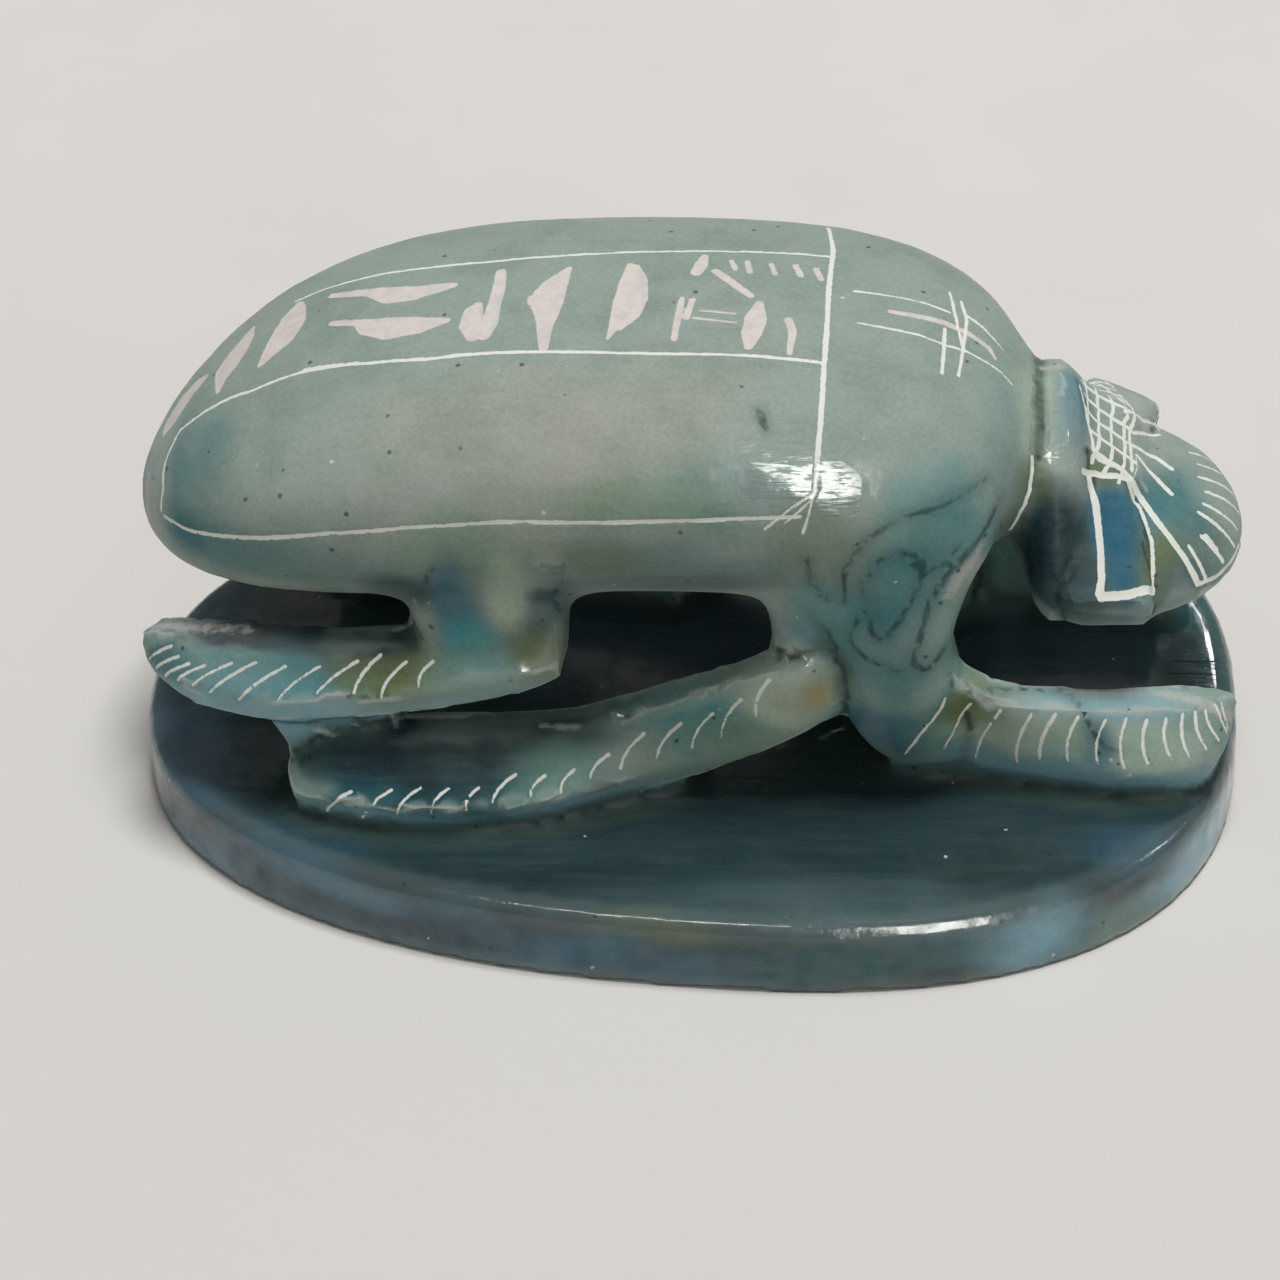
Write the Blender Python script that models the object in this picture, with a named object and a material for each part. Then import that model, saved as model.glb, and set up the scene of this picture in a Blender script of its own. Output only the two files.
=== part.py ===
"""A scarab paperweight: a beetle and its oval plate, carved together out of one block of soft stone and glazed.

The plate lies on z = 0 with its middle at the origin. The head points to +X and the back is up (+Z). The beetle is
a free carving, so its points are given in hundredths of the plate's length, with z counted from the plate's top.
"""

import math

import bmesh
import bpy
from mathutils import Matrix, Vector

# The plate, in metres
PLATE_LENGTH = 0.100
PLATE_WIDTH = 0.0688
PLATE_THICKNESS = 0.0075
PLATE_EDGE_ROUND = 0.0016
PLATE_SQUARENESS = 2.4  # exponent of its outline: 2 is an ellipse, more is squarer
PLATE_HEAD_SWELL = 0.139  # how much wider it grows towards the head
PLATE_POINTS = 80

# The beetle's own measure, and how finely its surface is cut
HUNDREDTH = PLATE_LENGTH / 100
CARVING_CELL = 0.55 * HUNDREDTH
CARVING_PASSES = 6  # rounds of rubbing the tool marks smooth
FACETS_KEPT = 0.056  # share of the finely cut facets that the finished solid keeps

# Colour of the glaze, linear
GLAZE_COLOUR = (0.16, 0.30, 0.29, 1.0)
GLAZE_ROUGHNESS = 0.18


def power(value, exponent):
    """A signed power, for outlines between an ellipse and a rectangle."""
    return math.copysign(abs(value) ** exponent, value)


def put_on_plate(vertices):
    """Brings points in hundredths to metres, with the plate's top as their floor."""
    for vertex in vertices:
        vertex.co = vertex.co * HUNDREDTH + Vector((0, 0, PLATE_THICKNESS))


# The domed body: a closed shell whose width, height and middle change along x

BODY_TAIL = -49.0
BODY_FRONT = 31.4
BODY_WIDEST = -1.0
BODY_HALF_WIDTH = 20.5
BODY_SIDE_HEIGHT = 32.9
BODY_RISE = 9.4  # from the side line to the back
BODY_DEPTH = 13.9  # from the side line to the belly
TAIL_DROP = 10.6
FRONT_DROP = 2.8
BODY_SQUARENESS = 2.7
# How late each side of the body falls off and how bluntly it ends, in its width and in its height
TAIL_WIDTH_CURVE = (3.7, 1.7)
TAIL_HEIGHT_CURVE = (3.7, 1.75)
FRONT_WIDTH_CURVE = (3.4, 2.5)
FRONT_HEIGHT_CURVE = (3.9, 2.7)
TAIL_DROP_CURVE = 2.9
FRONT_DROP_CURVE = 2.0


def fall(u, curve):
    late, blunt = curve
    return (1 - u**late) ** (1 / blunt)


def body_section(x):
    """Half-width, middle height, rise and depth of the body at x."""
    if x < BODY_WIDEST:
        u = min(1.0, (BODY_WIDEST - x) / (BODY_WIDEST - BODY_TAIL))
        width = fall(u, TAIL_WIDTH_CURVE)
        height = fall(u, TAIL_HEIGHT_CURVE)
        middle = BODY_SIDE_HEIGHT - TAIL_DROP * u**TAIL_DROP_CURVE
    else:
        u = min(1.0, (x - BODY_WIDEST) / (BODY_FRONT - BODY_WIDEST))
        width = fall(u, FRONT_WIDTH_CURVE)
        height = fall(u, FRONT_HEIGHT_CURVE)
        middle = BODY_SIDE_HEIGHT - FRONT_DROP * u**FRONT_DROP_CURVE
    return BODY_HALF_WIDTH * width, middle, BODY_RISE * height, BODY_DEPTH * height


def add_body(carving):
    ball = bmesh.ops.create_uvsphere(carving, u_segments=72, v_segments=48, radius=1.0)["verts"]
    bmesh.ops.rotate(carving, verts=ball, cent=(0, 0, 0), matrix=Matrix.Rotation(math.pi / 2, 3, "Y"))
    for vertex in ball:
        along, across, up = vertex.co
        x = (BODY_TAIL + BODY_FRONT) / 2 + (BODY_FRONT - BODY_TAIL) / 2 * max(-1.0, min(1.0, along))
        half_width, middle, rise, depth = body_section(x)
        ring = max(math.hypot(across, up), 1e-9)
        y = half_width * power(across / ring, 2 / BODY_SQUARENESS)
        z = (rise if up > 0 else depth) * power(up / ring, 2 / BODY_SQUARENESS)
        vertex.co = (x, y, middle + z)
    put_on_plate(ball)


# The legs: bars with a narrow top facet, a broad outer face and a narrow chamfer below

LEG_STEPS = 5  # cuts between two stations

# Each station is (ridge, foot): the inner top edge of the bar, and the lower edge of its outer side
REAR_LEG = (
    ((-10.0, -15.5, 20.0), (-9.6, -18.3, 14.6)),
    ((-15.0, -15.8, 19.6), (-15.0, -19.4, 13.0)),
    ((-24.0, -15.5, 18.6), (-24.0, -20.0, 11.7)),
    ((-31.0, -15.0, 18.0), (-31.0, -19.5, 10.6)),
    ((-37.5, -13.5, 17.2), (-37.0, -18.0, 9.4)),
    ((-43.3, -11.0, 15.6), (-43.3, -15.2, 9.0)),
    ((-46.3, -8.8, 13.9), (-47.1, -11.6, 9.5)),
)
MIDDLE_LEG = (
    ((15.0, -14.6, 17.6), (15.0, -16.5, 9.4)),
    ((8.7, -15.6, 16.0), (10.8, -17.8, 7.8)),
    ((2.0, -14.2, 12.4), (5.1, -16.9, 3.9)),
    ((-3.5, -13.4, 9.8), (-3.6, -17.7, 1.0)),
    ((-10.2, -14.2, 8.2), (-12.1, -21.0, 0.8)),
    ((-20.5, -15.6, 8.8), (-20.9, -22.4, 0.8)),
    ((-28.6, -16.0, 8.4), (-29.1, -21.3, 0.8)),
    ((-33.8, -15.4, 5.4), (-34.2, -19.4, 0.8)),
)
FRONT_LEG = (
    ((20.5, -13.5, 15.5), (18.9, -13.5, 0.8)),
    ((25.0, -14.6, 14.2), (24.9, -13.9, 0.8)),
    ((28.5, -13.8, 11.4), (30.0, -15.0, 0.8)),
    ((33.0, -13.2, 10.3), (35.0, -16.0, 0.8)),
    ((38.5, -12.8, 9.8), (40.2, -16.8, 0.8)),
    ((44.0, -11.6, 9.3), (44.8, -16.2, 0.8)),
    ((46.6, -9.8, 7.6), (47.4, -13.6, 0.8)),
    ((46.6, -7.2, 5.0), (48.3, -8.4, 0.8)),
)
FAR_FRONT_LEG = FRONT_LEG[:6]  # carved shorter on the far side
LEG_TOP_FACET = 2.8
LEG_TOP_SLOPE = 0.5  # fall of the top facet towards its outer edge
LEG_CHAMFER = 2.8
LEG_CHAMFER_MOST = 0.4  # of the bar's height
LEG_CHAMFER_OVERHANG = 0.9
LEG_THICKNESS = 6.0
LEG_BACK_CHAMFER = (0.8, 2.2)  # inwards and down from the ridge
LEG_UNDERCUT = 1.6  # how far the foot of a bar that lies on the plate is cut back under it
LEG_SOLE = 0.4  # below the outer lower edge, where the bar is clear of the plate
LEG_GROUNDED = (0.8, 2.5)  # foot heights at which a bar lies on the plate, and is clear of it
SINK = 0.8  # how deep the beetle runs into the plate, for one solid


def through(points, steps):
    """Points on a smooth curve through the given ones, with steps stretches between two of them."""
    ends = [2 * points[0] - points[1]] + points + [2 * points[-1] - points[-2]]
    curve = []
    for a, b, c, d in zip(ends, ends[1:], ends[2:], ends[3:]):
        for step in range(steps):
            t = step / steps
            curve.append(
                0.5 * (2 * b + (c - a) * t + (2 * a - 5 * b + 4 * c - d) * t**2 + (3 * b - a - 3 * c + d) * t**3)
            )
    return curve + [points[-1]]


def add_loft(carving, sections, side):
    """A closed shell through sections of the same number of points; side is 1 or, for its mirror image, -1."""
    rings = [[carving.verts.new((p.x, p.y * side, p.z)) for p in section] for section in sections]
    for ring, following in zip(rings, rings[1:]):
        for i in range(len(ring)):
            j = (i + 1) % len(ring)
            carving.faces.new((ring[i], ring[j], following[j], following[i]))
    caps = [carving.faces.new(rings[0]), carving.faces.new(rings[-1])]
    shell = set(caps)
    vertices = [vertex for ring in rings for vertex in ring]
    for vertex in vertices:
        shell.update(vertex.link_faces)
    bmesh.ops.recalc_face_normals(carving, faces=list(shell))
    put_on_plate(vertices)


def add_leg(carving, stations, side):
    ridges = through([Vector(ridge) for ridge, foot in stations], LEG_STEPS)
    feet = through([Vector(foot) for ridge, foot in stations], LEG_STEPS)
    turn = 1 if feet[-1].x < feet[0].x else -1  # which way is outwards from the bar's heading
    sections = []
    for i, (ridge, foot) in enumerate(zip(ridges, feet)):
        heading = feet[min(i + 1, len(feet) - 1)] - feet[max(i - 1, 0)]
        out = Vector((-heading.y, heading.x, 0)).normalized() * turn
        up = Vector((0, 0, 1))
        chamfer = min(LEG_CHAMFER, LEG_CHAMFER_MOST * (ridge.z - foot.z))
        lying, clear = LEG_GROUNDED
        on_plate = max(0.0, min(1.0, (clear - foot.z) / (clear - lying)))
        under = foot.z - LEG_SOLE - on_plate * (foot.z + SINK - LEG_SOLE)
        sections.append([
            ridge,
            ridge + out * LEG_TOP_FACET - up * LEG_TOP_SLOPE,
            foot + out * LEG_CHAMFER_OVERHANG + up * chamfer,
            foot,
            Vector((foot.x, foot.y, under)) - out * LEG_UNDERCUT,
            Vector((ridge.x, ridge.y, under)) - out * (LEG_THICKNESS - LEG_TOP_FACET),
            ridge - out * LEG_BACK_CHAMFER[0] - up * LEG_BACK_CHAMFER[1],
        ])
    add_loft(carving, sections, side)


# The hips: stone left standing between the body, the legs and the plate

HIP_POINTS = 28
HIP_STEPS = 3  # cuts between two levels
HIP_SQUARENESS = 3.0

# Each level is (height as a share of the side line's, lowest x, highest x, outer y, inner y)
FRONT_HIP = (
    (0.94, 7.0, 27.4, -17.0, -6.0),
    (0.83, 8.5, 28.4, -18.4, -7.0),
    (0.73, 10.5, 26.8, -19.0, -8.0),
    (0.62, 12.6, 25.0, -19.4, -8.5),
    (0.50, 14.2, 24.2, -19.2, -8.5),
    (0.36, 14.4, 25.0, -18.8, -8.5),
    (0.23, 15.0, 25.8, -17.6, -8.5),
    (0.11, 16.8, 26.0, -15.6, -8.5),
    (0.025, 18.8, 25.8, -13.5, -8.5),
    (-SINK / BODY_SIDE_HEIGHT, 20.4, 25.6, -12.2, -8.5),
)
MIDDLE_HIP = (
    (0.79, 5.0, 17.0, -17.0, -8.0),
    (0.68, 7.0, 17.0, -17.2, -8.0),
    (0.56, 8.2, 17.0, -17.4, -8.0),
    (0.44, 8.4, 17.0, -17.2, -9.0),
)
REAR_HIP = (
    (0.85, -25.0, -5.0, -18.0, -7.0),
    (0.73, -23.6, -8.0, -18.6, -8.0),
    (0.61, -22.8, -9.0, -18.8, -10.0),
    (0.50, -22.6, -9.2, -18.9, -11.0),
    (0.43, -22.0, -9.6, -18.4, -12.0),
)
BRIDGE = (  # between the rear leg and the end of the middle leg
    (0.40, -36.0, -24.0, -18.4, -13.2),
    (0.26, -36.2, -25.0, -18.2, -13.2),
    (0.12, -34.0, -25.0, -17.8, -13.2),
)


def add_column(carving, levels, side):
    """A shell with level, rounded sections, each a range in x and one in y."""
    widths = through([Vector((x0, x1)) for share, x0, x1, y0, y1 in levels], HIP_STEPS)
    depths = through([Vector((y0, y1)) for share, x0, x1, y0, y1 in levels], HIP_STEPS)
    heights = through([Vector((share * BODY_SIDE_HEIGHT, 0)) for share, x0, x1, y0, y1 in levels], HIP_STEPS)
    sections = []
    for (x0, x1), (y0, y1), (z, unused) in zip(widths, depths, heights):
        section = []
        for k in range(HIP_POINTS):
            angle = 2 * math.pi * k / HIP_POINTS
            x = (x0 + x1) / 2 + (x1 - x0) / 2 * power(math.cos(angle), 2 / HIP_SQUARENESS)
            y = (y0 + y1) / 2 + (y1 - y0) / 2 * power(math.sin(angle), 2 / HIP_SQUARENESS)
            section.append(Vector((x, y, z)))
        sections.append(section)
    add_loft(carving, sections, side)


# The head: a rolled collar, a sloping brow, two cheek lobes and a shell-shaped fan in front.
# Its points are counted from the neck, where the body ends.

NECK_BELOW_SIDE_LINE = 8.5
NECK = Vector((BODY_FRONT, 0.0, BODY_SIDE_HEIGHT - NECK_BELOW_SIDE_LINE))
COLLAR_CENTRE = (1.5, 0.0, 0.0)
COLLAR_RADII = (3.6, 12.9, 9.0)
COLLAR_SQUARENESS = 2.4
COLLAR_DROOP = 4.6  # how far its ends hang lower than its middle
BROW_CENTRE = (3.9, 0.5, 0.4)
BROW_HALF_SIZES = (4.6, 5.6, 4.4)
BROW_PITCH = math.radians(40)
LOBE_HALF_SIZES = (4.1, 7.2, 3.4)
# Each lobe is (side, centre, slope down to its outer end, pitch down to the front): carved by eye, they differ
LOBES = (
    (1, (6.4, -7.4, -2.7), math.radians(38), 0.0),
    (-1, (7.2, 7.6, -1.9), math.radians(26), math.radians(22)),
)
LOBE_ROUND = 1.5
LOBE_TAPER = 0.4  # how much narrower a lobe is at the brow than at its outer end
FAN_CENTRE = (8.0, 0.0, -6.8)
FAN_RADII = (10.5, 12.4, 7.8)
FAN_UNDERSIDE = 3.4
FAN_SQUARENESS = 1.8


def add_ball(carving, centre, radii, squareness, underside=None, droop=0.0):
    ball = bmesh.ops.create_uvsphere(carving, u_segments=56, v_segments=32, radius=1.0)["verts"]
    for vertex in ball:
        ring = max(math.hypot(vertex.co.x, vertex.co.y), 1e-9)
        flat = power(ring, 2 / squareness)
        rise = power(vertex.co.z, 2 / squareness)
        x = radii[0] * vertex.co.x / ring * flat
        y = radii[1] * vertex.co.y / ring * flat
        z = rise * (radii[2] if rise > 0 or underside is None else underside)
        vertex.co = NECK + Vector(centre) + Vector((x, y, z - droop * (y / radii[1]) ** 2))
    put_on_plate(ball)


def add_rounded_block(carving, centre, half_sizes, turn, rounding, inner=0, taper=0.0):
    """A block that narrows in x towards its end at y = inner, then is rounded, turned and placed."""
    cube = bmesh.ops.create_cube(carving, size=2.0)["verts"]
    for corner in cube:
        if corner.co.y * inner > 0 and corner.co.x > 0:
            corner.co.x -= 2 * taper
    bmesh.ops.scale(carving, vec=half_sizes, verts=cube)
    edges = list({edge for vertex in cube for edge in vertex.link_edges})
    rounded = bmesh.ops.bevel(
        carving, geom=cube + edges, offset=rounding, segments=4, profile=0.5, affect="EDGES", material=-1
    )
    block = list({vertex for face in rounded["faces"] for vertex in face.verts})
    bmesh.ops.rotate(carving, verts=block, cent=(0, 0, 0), matrix=turn)
    bmesh.ops.translate(carving, verts=block, vec=NECK + Vector(centre))
    put_on_plate(block)


def add_head(carving):
    add_ball(carving, COLLAR_CENTRE, COLLAR_RADII, COLLAR_SQUARENESS, droop=COLLAR_DROOP)
    add_ball(carving, FAN_CENTRE, FAN_RADII, FAN_SQUARENESS, underside=FAN_UNDERSIDE)
    add_rounded_block(carving, BROW_CENTRE, BROW_HALF_SIZES, Matrix.Rotation(BROW_PITCH, 3, "Y"), LOBE_ROUND)
    for side, centre, slope, pitch in LOBES:
        turn = Matrix.Rotation(slope * side, 3, "X") @ Matrix.Rotation(pitch, 3, "Y")
        add_rounded_block(carving, centre, LOBE_HALF_SIZES, turn, LOBE_ROUND, side, LOBE_TAPER)


# The plate: an egg-shaped slab with a rounded upper edge

def plate_outline():
    points = []
    for k in range(PLATE_POINTS):
        angle = 2 * math.pi * k / PLATE_POINTS
        u = power(math.cos(angle), 2 / PLATE_SQUARENESS)
        v = power(math.sin(angle), 2 / PLATE_SQUARENESS) * (1 + PLATE_HEAD_SWELL * u)
        points.append((u, v))
    widest = max(v for u, v in points)
    return [(u * PLATE_LENGTH / 2, v / widest * PLATE_WIDTH / 2) for u, v in points]


def make_plate():
    slab = bmesh.new()
    floor = slab.faces.new([slab.verts.new((x, y, 0.0)) for x, y in plate_outline()])
    lifted = bmesh.ops.extrude_face_region(slab, geom=[floor])["geom"]
    top = [item for item in lifted if isinstance(item, bmesh.types.BMVert)]
    bmesh.ops.translate(slab, verts=top, vec=(0, 0, PLATE_THICKNESS))
    rim = [item for item in lifted if isinstance(item, bmesh.types.BMEdge)]
    bmesh.ops.bevel(
        slab, geom=rim, offset=PLATE_EDGE_ROUND, segments=4, profile=0.5, affect="EDGES", material=-1
    )
    bmesh.ops.recalc_face_normals(slab, faces=slab.faces)
    return make_object("plate_guide", slab)


def make_object(name, shape):
    mesh = bpy.data.meshes.new(name)
    shape.to_mesh(mesh)
    shape.free()
    thing = bpy.data.objects.new(name, mesh)
    bpy.context.scene.collection.objects.link(thing)
    return thing


def glazed_stone():
    material = bpy.data.materials.new("glazed_stone")
    material.use_nodes = True
    shader = material.node_tree.nodes["Principled BSDF"]
    shader.inputs["Base Color"].default_value = GLAZE_COLOUR
    shader.inputs["Roughness"].default_value = GLAZE_ROUGHNESS
    shader.inputs["Metallic"].default_value = 0.0
    return material


def make_scarab():
    """The beetle's shells become one skin, which is rubbed smooth, thinned and joined to the plate."""
    carving = bmesh.new()
    add_body(carving)
    add_head(carving)
    for side in (1, -1):
        for stations in (REAR_LEG, MIDDLE_LEG, FRONT_LEG if side == 1 else FAR_FRONT_LEG):
            add_leg(carving, stations, side)
        for levels in (FRONT_HIP, MIDDLE_HIP, REAR_HIP, BRIDGE):
            add_column(carving, levels, side)
    scarab = make_object("scarab", carving)
    skin = scarab.modifiers.new("one skin", "REMESH")
    skin.mode = "VOXEL"
    skin.voxel_size = CARVING_CELL
    rub = scarab.modifiers.new("rubbed smooth", "SMOOTH")
    rub.iterations = CARVING_PASSES
    rub.factor = 0.5
    thin = scarab.modifiers.new("facets", "DECIMATE")
    thin.ratio = FACETS_KEPT
    plate = make_plate()
    plate.hide_render = True
    plate.display_type = "WIRE"
    join = scarab.modifiers.new("plate", "BOOLEAN")
    join.operation = "UNION"
    join.object = plate
    scarab.data.materials.append(glazed_stone())
    scarab.data.shade_smooth()
    return scarab


for thing in list(bpy.data.objects):
    bpy.data.objects.remove(thing)
make_scarab()
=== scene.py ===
"""A glazed stone scarab on its oval plate, lying on a pale table top under soft daylight from a window.

Points and sizes of the ornament are in millimetres in the object's own frame: +X towards the head, +Y to the
beetle's left, +Z up, with z = 0 under the plate.
"""

import math

import bmesh
import bpy
import numpy as np
from mathutils import Matrix, Vector, noise
from mathutils.bvhtree import BVHTree
from mathutils.kdtree import KDTree


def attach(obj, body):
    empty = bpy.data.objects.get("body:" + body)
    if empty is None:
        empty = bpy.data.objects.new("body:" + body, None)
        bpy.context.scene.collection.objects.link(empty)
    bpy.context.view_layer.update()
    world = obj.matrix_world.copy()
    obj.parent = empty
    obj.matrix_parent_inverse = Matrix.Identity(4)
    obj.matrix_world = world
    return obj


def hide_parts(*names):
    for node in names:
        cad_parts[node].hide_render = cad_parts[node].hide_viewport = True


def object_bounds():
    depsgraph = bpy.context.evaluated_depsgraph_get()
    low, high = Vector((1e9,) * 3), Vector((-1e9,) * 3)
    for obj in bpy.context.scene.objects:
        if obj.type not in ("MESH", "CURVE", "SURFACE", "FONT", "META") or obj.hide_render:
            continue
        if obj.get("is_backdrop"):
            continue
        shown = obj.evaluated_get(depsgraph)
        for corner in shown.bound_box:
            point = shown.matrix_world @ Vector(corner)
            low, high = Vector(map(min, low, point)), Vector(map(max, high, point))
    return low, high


MM = 0.001
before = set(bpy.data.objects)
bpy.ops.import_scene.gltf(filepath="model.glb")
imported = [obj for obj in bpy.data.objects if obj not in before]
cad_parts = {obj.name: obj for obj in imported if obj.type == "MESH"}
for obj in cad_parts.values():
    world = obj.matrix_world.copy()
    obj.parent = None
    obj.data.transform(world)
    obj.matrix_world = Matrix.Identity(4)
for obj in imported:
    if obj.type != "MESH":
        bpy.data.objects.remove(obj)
low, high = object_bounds()


# The scarab: a block of soft stone, carved with knife and file, dipped in a thin blue-green glaze that
# ran and pooled, then scratched through to the white stone. Here it is the imported solid's own skin, rubbed
# smooth where the real one is, cut finer along the scratches, and tinted as the glaze ran, with shade
# painted into the tints where parts lie in shadow and some light painted on the shadowed plate.

# The scratched ornament: a scratch is (half-width, points), and a filled mark has a half-width at each point
BACK_SCRATCHES = [
    (0.18, [(-45.3, -9.1, 32.5), (-42.7, -12, 33.1), (-37.1, -15.9, 35.2), (-29.3, -18.7, 37.8),
        (-21.9, -19.9, 39.4), (-14, -20.4, 40.4), (-5.2, -20.5, 40.5), (3.4, -20.5, 40.8),
        (7.7, -20.4, 40.9), (11.4, -20.1, 40.9)]),
    (0.14, [(-34.3, 7.4, 44.3), (-31.8, 7.6, 45.4), (-28.6, 7.4, 46.7), (-22.3, 6.7, 48.3),
        (-16.1, 6.5, 49.2), (-10.1, 6.9, 49.5), (-3.4, 7.4, 49.6), (5.4, 7.7, 49.4), (9.2, 7.8, 49.2),
        (13.2, 7.8, 48.8)]),
    (0.18, [(-45.7, -8.5, 32.7), (-45.3, -7.9, 34.7), (-45.2, -5.5, 36), (-44, -3.1, 37.6),
        (-41.6, -3.4, 39.8), (-39, -4, 41.8), (-36.9, -4.8, 43.1), (-34, -5.1, 44.6), (-32.1, -5.3, 45.5),
        (-28.3, -6.2, 46.9), (-25.8, -6.8, 47.5), (-20.9, -7.6, 48.5), (-16.4, -7.6, 49.1),
        (-10.5, -7.8, 49.4), (-1.6, -8.2, 49.5), (4.6, -8.1, 49.4), (10.3, -8.3, 49.1), (13.1, -8.4, 48.8)]),
    (0.11, [(-32, -5, 45.6), (-29.6, -5.7, 46.5), (-27.1, -6.3, 47.2)]),
    (0.21, [(12.9, 15.1, 47.2), (13.5, 9, 48.6), (13.3, 2.7, 49.1), (13.3, -2.1, 49.1), (13.2, -8.7, 48.7),
        (13.1, -13.4, 47.8), (12.9, -17.3, 46), (12.6, -19.7, 42.8)]),
    (0.11, [(12.9, -19.5, 43.2), (10.7, -20.1, 41.8), (8.4, -20.4, 39.8)]),
    (0.11, [(12.7, -19.7, 42.8), (11.4, -20.1, 41.5), (10.1, -20.2, 40.3)]),
    (0.12, [(12.7, -19.5, 43.4), (12.2, -20, 41.4), (11.6, -20.1, 39.2)]),
    (0.12, [(15.5, 2.4, 48.8), (19.5, 2.6, 48), (22, 2.6, 47.3), (23.8, 2.3, 46.7)]),
    (0.12, [(25.2, 2.8, 46.1), (26.7, 2, 45.3), (28.5, 0.6, 44.1)]),
    (0.12, [(15.9, -2.4, 48.7), (18.7, -2.5, 48.2), (21.1, -2.5, 47.6), (23.6, -2.9, 46.8),
        (25.4, -2.7, 46), (28.5, -3.1, 44.1), (29.3, -3.5, 43.2)]),
    (0.12, [(23.8, 5.7, 46.6), (24.4, 1.4, 46.5), (24.9, -2.2, 46.3)]),
    (0.13, [(24.8, 4.8, 46.2), (25.3, 2, 46.1), (25, -2.5, 46.2), (24.6, -6.5, 46.1)]),
    (0.15, [(23.4, -0.5, 46.9), (23.2, -6.9, 46.7)]),
    (0.17, [(30.7, -7.6, 38.3), (30.5, -8.4, 36.5), (29.8, -9.4, 34.5), (29, -9.7, 32.3)]),
]
HEAD_SCRATCHES = [
    (0.28, [(35.4, -6.6, 36.1), (37.2, -5.6, 34.9), (39.1, -5, 34.2)]),
    (0.32, [(35.8, -6, 35.3), (36.5, -7.8, 33.3), (36.9, -10.6, 31.1), (37, -13, 29.1),
            (36.8, -13.9, 28.3)]),
    (0.39, [(37, -14.1, 28.1), (39.3, -14, 28.3), (41.5, -12.1, 27.3)]),
    (0.17, [(39.2, -5, 34), (40.4, -6, 31.7), (41.4, -8.6, 30.1), (41.5, -10.4, 28.7), (41.5, -12, 27.5)]),
    (0.21, [(35.2, 1.7, 39.3), (35.7, -1.7, 38), (36.2, -5.2, 36)]),
    (0.17, [(38.9, 8.7, 33.4), (39.6, 1.7, 34.5), (39.7, -3.8, 34.2)]),
    (0.21, [(39.3, 3.3, 35.5), (40.8, 5.1, 33.3), (42.5, 10.2, 28.9)]),
    (0.14, [(37.2, 14.7, 31), (39.9, 14.2, 30.2), (42, 13.4, 29.5), (42.7, 13, 28.2), (42.4, 7.1, 30.7)]),
    (0.29, [(39.4, -4.6, 34.1), (40.6, -5.2, 32), (41.9, -6.9, 30.9),
        (43.6, -8.5, 29.4), (45.5, -9.7, 26.4)]),
    (0.17, [(45.5, -9.8, 26.2), (47, -8.2, 25.8), (48.2, -6.3, 25.7), (49.4, -3, 25.6)]),
    (0.23, [(40, -0, 34.1), (41.9, 0.4, 32.6), (43.3, -0.6, 32.1)]),
    (0.23, [(40.2, -1.2, 33.9), (41.6, -2.3, 32.5), (43.2, -3.8, 31.6)]),
    (0.15, [(45.1, 3.5, 30.9), (47.4, 5.2, 28.4)]),
    (0.15, [(45.7, 1.8, 30.8), (48.7, 4.2, 27)]),
    (0.15, [(45.7, -0.3, 30.9), (49.4, 2.2, 26.6)]),
    (0.15, [(46.2, -1.8, 30.5), (49.6, 0.4, 26.1)]),
    (0.15, [(46.1, -3.4, 30.3), (49.4, -2.3, 26.4)]),
    (0.17, [(45.6, -4.6, 30.2), (48.9, -4.4, 26.4)]),
    (0.17, [(45.8, -6.6, 29.1), (47.8, -6.8, 26.5)]),
    (0.17, [(44.7, -8, 29.1), (46.2, -9, 26.3)]),
    (0.32, [(46.2, -6.5, 28.9), (47.1, -6.7, 27.7)]),
    (0.14, [(39.9, 1.7, 34.2), (42.5, 5.5, 31.4)]),
]
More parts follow.
